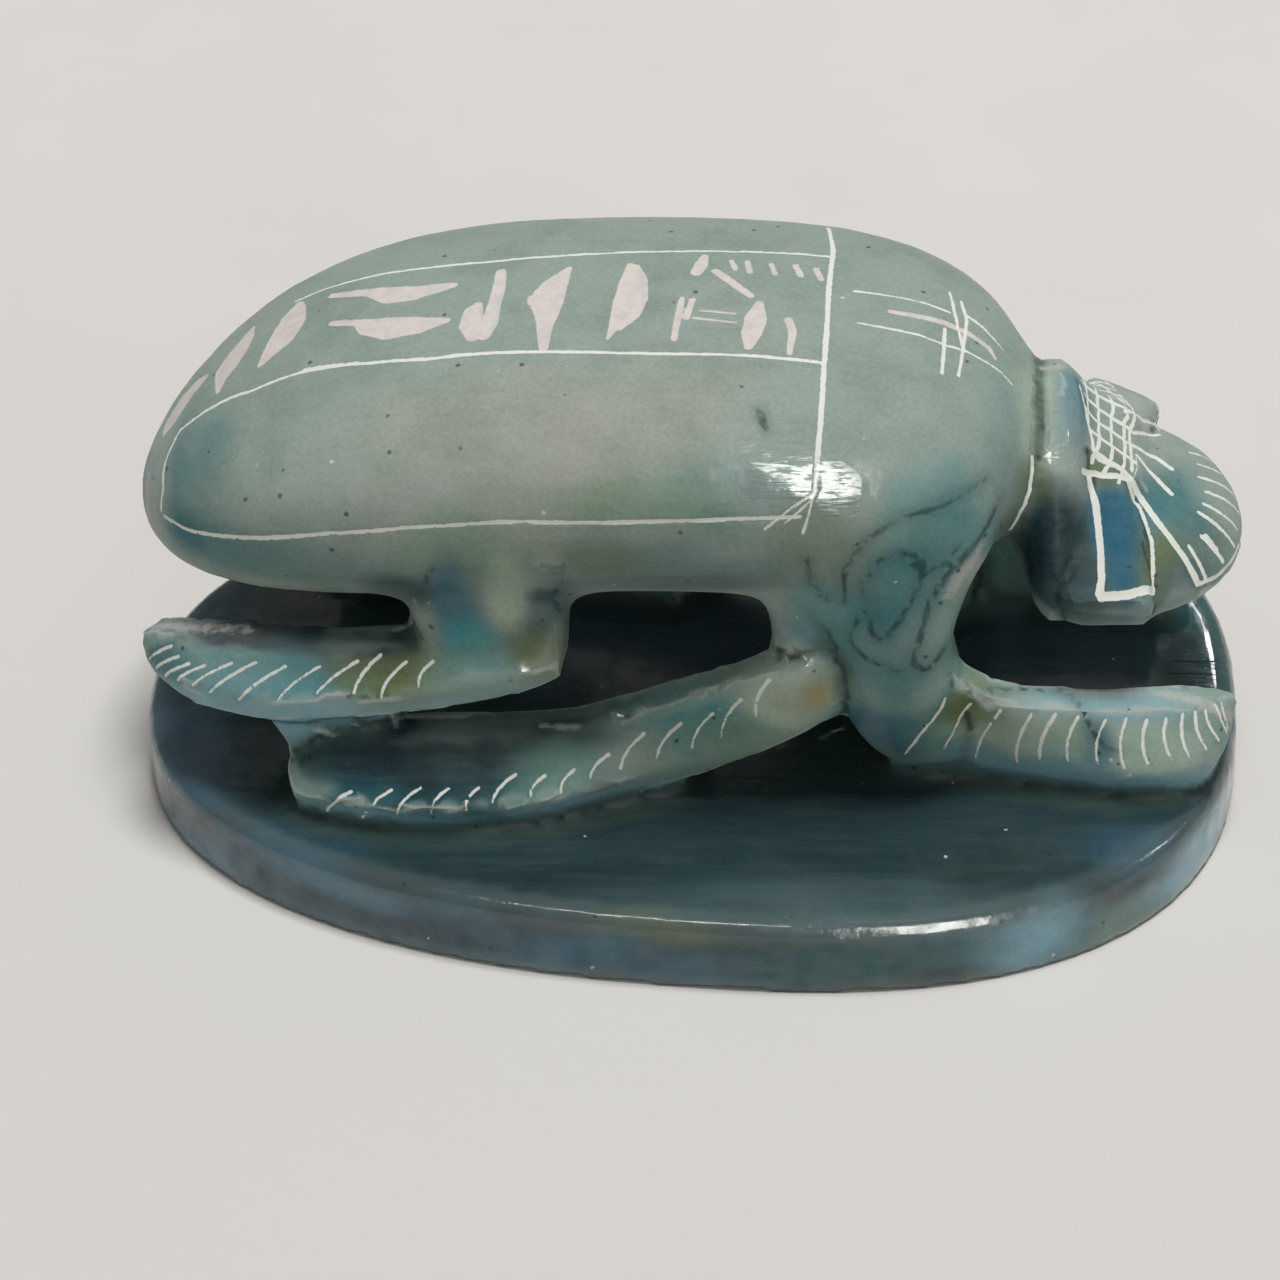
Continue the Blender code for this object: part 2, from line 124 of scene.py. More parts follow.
FILLED_MARKS = [
    [(18.6, 0.1, 48.2, 0.24), (21, 0.3, 47.6, 0.36), (23.4, 0.4, 46.9, 0.38), (25.8, -0.1, 45.8, 0.36),
     (27.3, -0.7, 45, 0.31), (27.8, -1.7, 44.6, 0.19)],
    [(4.7, 6, 49.5, 0.23), (5.1, 4.6, 49.6, 0.23)],
    [(6.1, 5.9, 49.5, 0.25), (6.4, 4.2, 49.6, 0.25)],
    [(8.2, 5.7, 49.4, 0.25), (8.6, 4.1, 49.5, 0.25)],
    [(10.3, 5.7, 49.2, 0.28), (10.8, 4.1, 49.3, 0.28)],
    [(12.1, 5.4, 49.1, 0.28), (12.6, 3.7, 49.1, 0.28)],
    [(2.3, 6.6, 49.6, 0.38), (2.1, 5.2, 49.7, 0.62), (1.7, 3.8, 49.7, 0.48)],
    [(3.4, 4.2, 49.7, 0.38), (5.2, 2, 49.7, 0.4), (6.6, 0.4, 49.6, 0.34)],
    [(7.4, -0.7, 49.6, 0.38), (7.2, -3, 49.6, 0.96), (6.9, -5.2, 49.5, 0.91), (6.7, -7, 49.4, 0.38)],
    [(0.7, -0.2, 49.8, 0.29), (0.3, -6.2, 49.7, 0.29)],
    [(1.6, -0.4, 49.8, 0.29), (1.2, -3.2, 49.8, 0.29)],
    [(2.3, -2.1, 49.7, 0.11), (5.4, -2.4, 49.7, 0.11)],
    [(1.8, -3.2, 49.7, 0.11), (5.5, -3.7, 49.6, 0.11)],
    [(10, -2.9, 49.4, 0.38), (10.4, -4.6, 49.3, 0.38), (10.2, -7.5, 49.1, 0.25)],
    [(-4.1, 5.1, 49.7, 0.29), (-4.2, 1.7, 49.8, 0.76), (-4.4, -1.4, 49.8, 0.86), (-4.9, -4.4, 49.7, 0.48),
     (-5.4, -6.2, 49.6, 0.19)],
    [(-3.6, 4.8, 49.7, 0.38), (-3.3, 2.5, 49.8, 0.86), (-3.4, -0.3, 49.8, 1.15), (-3.8, -2.6, 49.8, 1.05),
     (-4.6, -4.5, 49.7, 0.57)],
    [(-9.4, 4.7, 49.6, 0.24), (-9.9, 3.4, 49.7, 0.67), (-10.5, 2, 49.7, 1.15), (-10.9, 0.6, 49.7, 1.43),
     (-11, -0.9, 49.7, 1.43), (-10.9, -2.5, 49.7, 1.05), (-10.9, -3.9, 49.6, 0.76),
     (-10.9, -5.6, 49.5, 0.57), (-10.8, -7.3, 49.4, 0.38)],
    [(-12.4, -0.8, 49.6, 0.29), (-12, -0.1, 49.6, 0.76), (-11.4, -1.4, 49.6, 0.86),
     (-11.1, -3.2, 49.6, 0.67)],
    [(-15.4, 4.5, 49.4, 0.44), (-15.4, 1.5, 49.4, 0.57), (-15.6, -1, 49.4, 0.62),
     (-15.8, -3.4, 49.3, 0.76), (-16.1, -5.2, 49.3, 0.57)],
    [(-17, -0.5, 49.2, 0.38), (-17.4, -1.6, 49.2, 0.86), (-17.4, -3.5, 49.2, 1.05), (-17, -5, 49.2, 0.76)],
    [(-30.7, 5.7, 46, 0.37), (-27.1, 4.3, 47.3, 0.59), (-25, 3, 47.9, 1.26), (-23.1, 2.6, 48.3, 1.11),
     (-21.3, 2.8, 48.7, 0.74), (-19.5, 3, 48.9, 0.37)],
    [(-30.1, 0.8, 46.4, 0.37), (-27.7, -0.3, 47.2, 0.45), (-26.4, -1.5, 47.6, 1.18),
     (-24.5, -2.3, 48, 1.63), (-22, -2.6, 48.5, 1.18), (-19.6, -2.4, 48.9, 0.37)],
    [(-33.9, 6.5, 44.6, 0.48), (-34.1, 4.9, 44.6, 1.24), (-34.3, 3.1, 44.6, 1.62),
     (-34.9, 1.3, 44.3, 1.53), (-35.7, -0.1, 43.9, 0.96), (-36.4, -1.3, 43.5, 0.38)],
    [(-38.2, 6.3, 42.1, 0.29), (-38.7, 4.7, 42, 0.96), (-39.3, 3.2, 41.6, 1.43), (-40, 1.6, 41.2, 1.43),
     (-40.3, -0, 40.9, 0.76), (-40.4, -1.7, 40.8, 0.29)],
    [(-42.3, 2.7, 39.3, 0.38), (-43.4, 2.5, 38.3, 1.15), (-44.4, 1.8, 37.3, 1.53),
     (-45.2, 0.5, 36.4, 1.34), (-45.7, -0.5, 35.7, 0.57)],
    [(-41.3, 10, 38.9, 0.38), (-42.4, 9.4, 37.9, 0.96), (-43.3, 7.5, 37.7, 0.76)],
]
# The brow, which is scratched all over with a net
NETTED = [
    [(36.6, 12.2, 32.4, 1.91), (37, 3.3, 36.6, 2.58), (37.6, 0.2, 36.2, 3.06), (38, -2.7, 35.7, 2.87),
     (38.3, -4, 35.4, 2.29)],
]
# Dark rims that the glaze left where it ran and dried, and places where it is rubbed off
STAINS = [
    (0.21, [(16.8, -19, 31.4), (16.6, -18.7, 33.3), (18, -18.8, 35.5), (20.1, -18.3, 36.3),
        (21.6, -18.2, 35.1), (21.2, -18.8, 32.3), (19.9, -19.2, 29.6), (18.3, -19.3, 27.3),
        (17.3, -19.3, 27.7), (16.8, -19.1, 30.2)]),
    (0.23, [(14.8, -18.8, 31), (15.1, -19.2, 35), (16.9, -19.3, 38), (19.6, -18.6, 39.5),
        (22.9, -17.1, 39.8), (25.4, -15.3, 40.2), (27.3, -13.5, 40.3)]),
    (0.25, [(28.2, -12.6, 37.4), (27.3, -15.5, 36.3), (25.5, -17.6, 34.7), (23.6, -18.4, 33.1),
        (22.3, -18.9, 30.7), (21.4, -19.2, 27.3), (20.7, -19.2, 24.6), (21.9, -18.8, 23.7),
        (23.5, -17.8, 25.1)]),
    (0.17, [(20.1, -18.3, 35.2), (21.8, -18.5, 33.9), (23.4, -18.2, 34.5), (25, -17.3, 35.8)]),
    (0.19, [(16.1, -19.1, 29.3), (15.2, -18.8, 26.9), (16.9, -19.1, 24.9), (19.7, -19.2, 23.7)]),
    (0.19, [(26.8, -16.2, 19.4), (29.4, -14.5, 18.3), (33.8, -13.8, 17.6), (35.5, -15.3, 17),
        (36.4, -16.3, 15.1), (37.5, -16.8, 13.5), (38.9, -17, 13.2)]),
    (0.23, [(11.8, -19.9, 36.3), (12.2, -18.8, 32.9), (13.5, -18.5, 31)]),
    (0.31, [(7.9, -14.3, 48), (8.1, -15.1, 47.7), (8.5, -16, 47.2)]),
    (0.21, [(-9.5, -19.8, 34.8), (-9.3, -18.9, 32.9), (-10.2, -17.8, 30.5), (-9.7, -17.2, 28.5)]),
    (0.21, [(-20.2, -19.6, 34.8), (-21.6, -18, 31.2)]),
]
SCUFFS = [
    [(-46.9, -10.7, 21.5, 0.38), (-43.9, -12.3, 22.9, 0.38), (-40.7, -13.8, 23.8, 0.29),
     (-37.3, -14.9, 24.5, 0.19)],
    [(27.6, -16.2, 35, 0.19), (26.4, -17.2, 33.9, 0.48), (25.1, -17.9, 32.6, 0.57),
     (24.2, -18.3, 31.1, 0.38)],
    [(34.1, -13.7, 17.5, 0.19), (38.5, -13.4, 17.2, 0.29), (42.4, -13.1, 16.9, 0.38),
     (46.4, -13.4, 15.8, 0.38), (48.9, -11.7, 12.8, 0.29)],
    [(-47.2, -3.4, 33.5, 0.29), (-47.5, -5.3, 31.6, 0.38), (-47, -6, 28.7, 0.29)],
    [(31.7, 2.5, 40.4, 0.38), (33.6, 3.3, 40.2, 0.48)],
]
# Rows of nicks down the legs' outer faces, each from its lower to its upper end
REAR_LEG_NICKS = [
    ((-47.3, -12.2, 18.8), (-44.7, -13.8, 21.8)),
    ((-46.6, -13, 18.4), (-44, -14.6, 21.3)),
    ((-45.7, -14, 18.3), (-43, -15.4, 21.1)),
    ((-44.3, -15.4, 19.1), (-41.4, -16.1, 21.5)),
    ((-42.8, -16.3, 19.3), (-38.9, -16.8, 22.3)),
    ((-41.2, -17.1, 19.1), (-36.6, -17.5, 23)),
    ((-38.4, -18.3, 19.3), (-33.9, -18.2, 23.1)),
    ((-34.7, -19.5, 20.3), (-30.8, -18.8, 23.6)),
    ((-31.5, -20.1, 21), (-27.4, -18.9, 24.3)),
    ((-27.8, -20.5, 21.9), (-25.4, -18.7, 24.8)),
    ((-25.4, -20.6, 21.6), (-23.1, -19.2, 24.5)),
    ((-22, -20.5, 22.7), (-20.8, -19.3, 24.6)),
]
MIDDLE_LEG_NICKS = [
    ((-31.1, -20.8, 8.8), (-28.6, -21.7, 11.8)),
    ((-27.8, -21.8, 8.9), (-25, -21.9, 12.2)),
    ((-24.6, -22.7, 10), (-22.3, -21.8, 12.5)),
    ((-21.5, -23, 10.4), (-19.9, -21.8, 12.4)),
    ((-18.4, -22.9, 10.8), (-17.3, -21.6, 12.3)),
    ((-16.1, -22.5, 11.3), (-14.1, -20.4, 12.9)),
    ((-12.7, -21.7, 11.5), (-11.5, -20.2, 12.6)),
    ((-10.1, -21, 11.3), (-9, -19.5, 12.7)),
    ((-7.6, -19.7, 11.9), (-6, -18.1, 13.4)),
    ((-5, -18.6, 12.1), (-2.9, -17.1, 14.9)),
    ((-1.8, -17.8, 12.8), (0.4, -17.1, 16.1)),
    ((1.3, -17.6, 13.7), (3.3, -17.4, 17.5)),
    ((3.9, -17.6, 14.9), (5.8, -17.9, 19.5)),
    ((7.1, -18.1, 17.8), (8.3, -18.3, 22)),
]
FRONT_LEG_NICKS = [
    ((20, -15.8, 11.7), (23.6, -17.9, 19.8)),
    ((23.5, -16.3, 12.8), (25.8, -16.7, 18.2)),
    ((26.3, -14.9, 10.7), (28.4, -16.4, 17.3)),
    ((29.9, -15.9, 11), (31.1, -16.2, 16.7)),
    ((31.9, -16.4, 11.7), (33.2, -16, 16.6)),
    ((34.4, -16.7, 11.9), (35.2, -16, 16.3)),
    ((37, -17.1, 11.8), (37.6, -16, 16)),
    ((39.3, -17.4, 11.7), (39.4, -15.8, 16)),
    ((41.4, -17.3, 12), (41.2, -15.6, 15.7)),
    ((43.5, -16.9, 12.2), (42.9, -15.3, 15.6)),
    ((45.1, -16.5, 12.1), (44.4, -14.7, 15.7)),
    ((46.6, -15.5, 12.3), (45.5, -14.3, 15.6)),
    ((47.7, -14.3, 12.3), (46.4, -13.8, 15.4)),
    ((48.4, -13, 12.1), (47.3, -12.9, 15.4)),
    ((48.7, -12.8, 12.4), (47.9, -12.4, 15.1)),
]
NICK_HALF_WIDTHS = (0.09, 0.15)  # at a nick's lower and upper end
NICK_BOW = 0.45  # mm that a nick's middle bends towards the tail


SKIN_CELL = 0.73 * MM
SCRATCH_DEPTH = 0.07 * MM
BAND = 0.1  # mm on each side of a scratch that is cut finer
FINEST_EDGE = 0.27 * MM
FOLD_ANGLE = math.radians(24)  # between two facets that meet in a ridge or a crease
FOLD_STEP = 0.1 * MM  # between the points that are kept along a ridge or a crease
SNAP = 0.4 * MM
NEAR, FOLD_NEAR = 1.5, 2.0  # mm from a stroke and from a fold that their effect may reach
SCUFF_NEAR = 2.5  # the same for scuffs
SMOOTH_FROM, SMOOTH_FULL = 24.0, 31.0  # mm up, over which the carved sides turn into the smooth back
NECK, SHOULDER = 32.5, 30.0  # mm towards the head, over which the back's smoothness begins
BACK_ROUNDS, SKIN_ROUNDS, HOLLOW_ROUNDS = 44, 4, 14  # rounds of rubbing
PLATE_JOIN = 8.3  # mm up, in the middle of the hollow where a leg meets the plate
ABOVE_PLATE = 9.0  # mm up, where the plate's own edges end
HAND_RELIEF = 0.05 * MM  # depth of the unevenness that the knife left


def merged_copy(node):
    mesh = node.data.copy()
    shape = bmesh.new()
    shape.from_mesh(mesh)
    bmesh.ops.remove_doubles(shape, verts=shape.verts, dist=1e-6)
    shape.to_mesh(mesh)
    shape.free()
    return mesh


def remeshed(mesh, cell):
    """The mesh as one even skin of small squares."""
    helper = bpy.data.objects.new("helper", mesh)
    bpy.context.scene.collection.objects.link(helper)
    skin = helper.modifiers.new("skin", "REMESH")
    skin.mode = "VOXEL"
    skin.voxel_size = cell
    made = bpy.data.meshes.new_from_object(helper.evaluated_get(bpy.context.evaluated_depsgraph_get()))
    bpy.data.objects.remove(helper)
    return made


def points_of(mesh):
    co = np.zeros(len(mesh.vertices) * 3)
    mesh.vertices.foreach_get("co", co)
    return co.reshape(-1, 3)


def edges_of(mesh):
    ends = np.zeros(len(mesh.edges) * 2, np.int32)
    mesh.edges.foreach_get("vertices", ends)
    return ends.reshape(-1, 2)


def rubbed(points, edges, weight, rounds):
    """Points moved towards the mean of their neighbours, by each one's weight."""
    count = np.bincount(edges.ravel(), minlength=len(points))
    for _ in range(rounds):
        mean = np.empty_like(points)
        for axis in range(3):
            line = points[:, axis]
            mean[:, axis] = np.bincount(edges[:, 0], line[edges[:, 1]], len(points))
            mean[:, axis] += np.bincount(edges[:, 1], line[edges[:, 0]], len(points))
        points = points + (mean / count[:, None] - points) * weight[:, None]
    return points


def folds_of(mesh, convex):
    """Close points along the mesh's ridges, or along its creases, as a tree to search."""
    shape = bmesh.new()
    shape.from_mesh(mesh)
    along = []
    for edge in shape.edges:
        if len(edge.link_faces) == 2 and edge.calc_face_angle() > FOLD_ANGLE and edge.is_convex == convex:
            steps = max(1, math.ceil(edge.calc_length() / FOLD_STEP))
            along += [edge.verts[0].co.lerp(edge.verts[1].co, k / steps) for k in range(steps + 1)]
    shape.free()
    tree = KDTree(len(along))
    for k, point in enumerate(along):
        tree.insert(point, k)
    tree.balance()
    return tree


def gap_to_folds(points, folds):
    return np.array([min(folds.find(Vector(p))[2] / MM, FOLD_NEAR) for p in points])


def ramp(value, start, end):
    """0 up to start, 1 from end on, smooth between; start may be the larger."""
    t = np.clip((value - start) / (end - start), 0, 1)
    return t * t * (3 - 2 * t)


def drape(tree, stroke, step=0.35 * MM):
    """A stroke of (x, y, z, half-width) in mm as close points on the skin, in metres."""
    laid = []
    for a, b in zip(stroke, stroke[1:]):
        a, b = Vector(a), Vector(b)
        steps = max(1, math.ceil((b - a).xyz.length * MM / step))
        laid += [a.lerp(b, k / steps) for k in range(steps)]
    laid.append(Vector(stroke[-1]))
    places = []
    for point in laid:
        place = tree.find_nearest(point.xyz * MM)[0]
        places.append((place.x, place.y, place.z, point.w * MM))
    return np.array(places)


def gap_to(points, strokes, reach):
    """Each point's gap to the nearest stroke's edge, in mm: negative inside one, and reach at the most."""
    gap = np.full(len(points), reach)
    for stroke in strokes:
        margin = reach * MM + stroke[:, 3].max()
        near = np.all((points > stroke[:, :3].min(0) - margin) & (points < stroke[:, :3].max(0) + margin), 1)
        near = np.flatnonzero(near)
        here = points[near]
        best = np.full(len(near), reach)
        for a, b in zip(stroke, stroke[1:]):
            way = b[:3] - a[:3]
            t = np.clip((here - a[:3]) @ way / max(way @ way, 1e-12), 0, 1)
            far = np.linalg.norm(here - a[:3] - t[:, None] * way, axis=1)
            best = np.minimum(best, (far - (a[3] + (b[3] - a[3]) * t)) / MM)
        gap[near] = np.minimum(gap[near], best)
    return gap


def cut_finer(mesh, strokes):
    """Splits the skin's edges along the strokes until they are short enough to draw them."""
    shape = bmesh.new()
    shape.from_mesh(mesh)
    bmesh.ops.triangulate(shape, faces=shape.faces)
    for longest in (2 * FINEST_EDGE, FINEST_EDGE):
        points = np.array([vertex.co for vertex in shape.verts])
        gap = np.abs(gap_to(points, strokes, FOLD_NEAR))
        shape.verts.ensure_lookup_table()
        band = BAND if longest == FINEST_EDGE else 3 * BAND
        chosen = [
            edge
            for edge in shape.edges
            if min(gap[edge.verts[0].index], gap[edge.verts[1].index]) < band
            and edge.calc_length() > longest
        ]
        bmesh.ops.subdivide_edges(shape, edges=chosen, cuts=1, use_grid_fill=False)
        bmesh.ops.triangulate(shape, faces=[face for face in shape.faces if len(face.verts) > 3])
        shape.verts.index_update()
    shape.to_mesh(mesh)
    shape.free()


def store(mesh, name, values):
    attribute = mesh.attributes.new(name, "FLOAT", "POINT")
    attribute.data.foreach_set("value", values.astype(np.float32))


def mirrored(stroke):
    return [(x, -y, z, r) for x, y, z, r in stroke]


def nick(foot, top):
    """A nick as a stroke that bows towards the tail and is pressed harder at its upper end."""
    low_end, high_end = NICK_HALF_WIDTHS
    stroke = []
    for t in (0, 0.25, 0.5, 0.75, 1):
        x, y, z = (a + (b - a) * t for a, b in zip(foot, top))
        stroke.append((x - NICK_BOW * 4 * t * (1 - t), y, z, low_end + (high_end - low_end) * t))
    return stroke


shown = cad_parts["scarab"]
solid = merged_copy(shown)
solid_corners = [vertex.co for vertex in solid.vertices]
solid_tree = BVHTree.FromPolygons(solid_corners, [tuple(face.vertices) for face in solid.polygons])
mesh = remeshed(solid, SKIN_CELL)
points, edges = points_of(mesh), edges_of(mesh)
height = points[:, 2] / MM
# The broad back is rubbed smooth; the legs, head and plate keep the ridges that the knife left
dome = ramp(height, SMOOTH_FROM, SMOOTH_FULL) * ramp(points[:, 0] / MM, NECK, SHOULDER)
smooth = rubbed(points, edges, 0.5 * dome, BACK_ROUNDS)
crisp = np.array([solid_tree.find_nearest(Vector(p))[0] for p in points])
points = crisp + (smooth - crisp) * dome[:, None]
junction = ramp(np.abs(height - PLATE_JOIN), 1.6, 0.6)
points = rubbed(points, edges, 0.2 + 0.3 * junction, SKIN_ROUNDS)
# Corners of the skin that are close to a ridge or a crease are moved onto it, so that it stays crisp
ridges, creases = folds_of(solid, True), folds_of(solid, False)
for k in np.flatnonzero((dome < 0.01) & (height > ABOVE_PLATE)):
    for folds in (ridges, creases):
        place, _, far = folds.find(Vector(points[k]))
        if far < SNAP:
            points[k] = place
            break
points = np.clip(points, np.array(low), np.array(high))
mesh.vertices.foreach_set("co", points.ravel())

tree = BVHTree.FromPolygons([tuple(p) for p in points], [tuple(f.vertices) for f in mesh.polygons])
scratches = [[(*p, half) for p in way] for half, way in BACK_SCRATCHES + HEAD_SCRATCHES]
for row in (REAR_LEG_NICKS, MIDDLE_LEG_NICKS, FRONT_LEG_NICKS):
    scratches += [nick(foot, top) for foot, top in row]
far_side = [scratches[0]] + scratches[len(BACK_SCRATCHES + HEAD_SCRATCHES) :]
scratches += [mirrored(stroke) for stroke in far_side]
scratches = [drape(tree, stroke) for stroke in scratches]
marks = [drape(tree, stroke) for stroke in FILLED_MARKS]
stains = [drape(tree, [(*p, half) for p in way]) for half, way in STAINS]
scuffs = [drape(tree, stroke) for stroke in SCUFFS]
netted = [drape(tree, stroke) for stroke in NETTED]
cut_finer(mesh, scratches + marks)

points, edges = points_of(mesh), edges_of(mesh)
scratch_gap = gap_to(points, scratches, NEAR)
mark_gap = gap_to(points, marks, NEAR)
store(mesh, "scratch", scratch_gap)
store(mesh, "mark", mark_gap)
store(mesh, "stain", gap_to(points, stains, NEAR))
store(mesh, "scuff", gap_to(points, scuffs, SCUFF_NEAR))
store(mesh, "net", gap_to(points, netted, NEAR))

ridge_gap = gap_to_folds(points, ridges)
store(mesh, "crease", gap_to_folds(points, creases))
on_fold = (np.minimum(ridge_gap, gap_to_folds(points, creases)) < 0.05) & (points[:, 2] > ABOVE_PLATE * MM)
sharp = mesh.attributes.new("sharp_edge", "BOOLEAN", "EDGE")
sharp.data.foreach_set("value", on_fold[edges].all(1))

# Where the skin bulges it is worn paler, and where it is hollow it is darker
normals = np.zeros(len(points) * 3)
mesh.vertices.foreach_get("normal", normals)
normals = normals.reshape(-1, 3)
blurred = rubbed(points, edges, np.full(len(points), 0.5), HOLLOW_ROUNDS)
bulge = np.einsum("ij,ij->i", points - blurred, normals) / MM

# Drips and crumbs of glaze, as (x, y, z, radius, height)
LUMPS = [
    (-9.4, -20.2, 36.2, 1.3, 0.5),  # drip
    (-9.6, -17.3, 29.9, 1.6, 0.4),  # drip low
    (-10.4, -18.8, 32.7, 1.1, 0.3),  # drip mid
    (-6, -15.4, 15.9, 1.5, 0.6),  # blob
    (-3.3, -15.5, 16.8, 1.3, 0.4),  # blob right
    (14.1, -8, 7.5, 0.9, 0.5),  # crumb
    (15, -8.8, 7.5, 0.8, 0.4),  # crumb right
    (13.3, -8.4, 7.5, 0.8, 0.4),  # crumb left
    (-31.2, 11.9, 7.5, 1.6, 0.6),  # belly drip
    (-29.4, 12, 7.5, 1.3, 0.5),  # belly drip right
    (-17.9, -20, 23.8, 1.4, 0.3),  # foot blob
    (-13.2, -19.8, 23.9, 1.3, 0.2),  # foot blob right
    (-44.6, 8.7, 7.5, 1.2, 0.25),  # leg edge
    (-37.5, -13.8, 24.6, 1.4, 0.3),  # leg edge right
    (-13.1, -18.8, 26.6, 2, 0.3),  # hip edge
]
swell = np.zeros(len(points))
for *middle, reach, tall in LUMPS:
    far = np.linalg.norm(points / MM - np.array(middle), axis=1) / reach
    swell += tall * MM * np.clip(1 - far**2, 0, 1) ** 2

# The scratches are cut into the skin, and the whole surface is a little uneven, as carved by hand
sunk = SCRATCH_DEPTH * ramp(np.minimum(scratch_gap, mark_gap), 0.05, -0.12)
coarse = np.array([noise.noise(Vector(p) / (3.1 * MM)) for p in points])
fine = np.array([noise.noise(Vector(p) / (1.3 * MM)) for p in points])
hand = HAND_RELIEF * (coarse + 0.5 * fine) * ramp(points[:, 2] / MM, 8.0, 12.0)
points = points + normals * (hand + swell - sunk)[:, None]
mesh.vertices.foreach_set("co", points.ravel())

def linear(colour):
    """An sRGB hex colour as linear red, green, blue and alpha."""
    parts = [int(colour[i : i + 2], 16) / 255 for i in (1, 3, 5)]
    return [p / 12.92 if p <= 0.04045 else ((p + 0.055) / 1.055) ** 2.4 for p in parts] + [1.0]


# The glaze's tints, as sRGB, and where they ran, together with painted shade where parts lie in shadow and
# painted light where the plate lies in the shadow under the body: (middle, reach in x, y and z, tint,
# strength), in mm
TINTS = {
    "celadon": "#98a59d",
    "sage": "#a2a49a",
    "green": "#7f9c80",
    "sea": "#73938c",
    "teal": "#3f7479",
    "turquoise": "#4f979a",
    # shade is the colour used for painted shade, where a part lies in shadow
    "shade": "#22363b",
    "blue": "#386478",
    "slate": "#4e6165",
    "deep": "#234c5a",
    "olive": "#6d7448",
    "ochre": "#a37b35",
    "pale": "#b3c0ae",
    # a dark grey-green for the hollows and creases
    "plate": "#2b3d41",
    "dark hollow": "#3a4a44",
    "slateblue": "#6d868f",
    "sky": "#83aab8",
    "stone": "#b4b8b2",
    "steel": "#3f6076",
    "sea green": "#1a4a4c",
    "azure": "#2a7089",
    "lagoon": "#2b575b",
    "night": "#4c5a68",
    "mauve": "#504e55",
}
SATURATION = 1.1  # the glaze's colours are this much stronger than the tints as listed
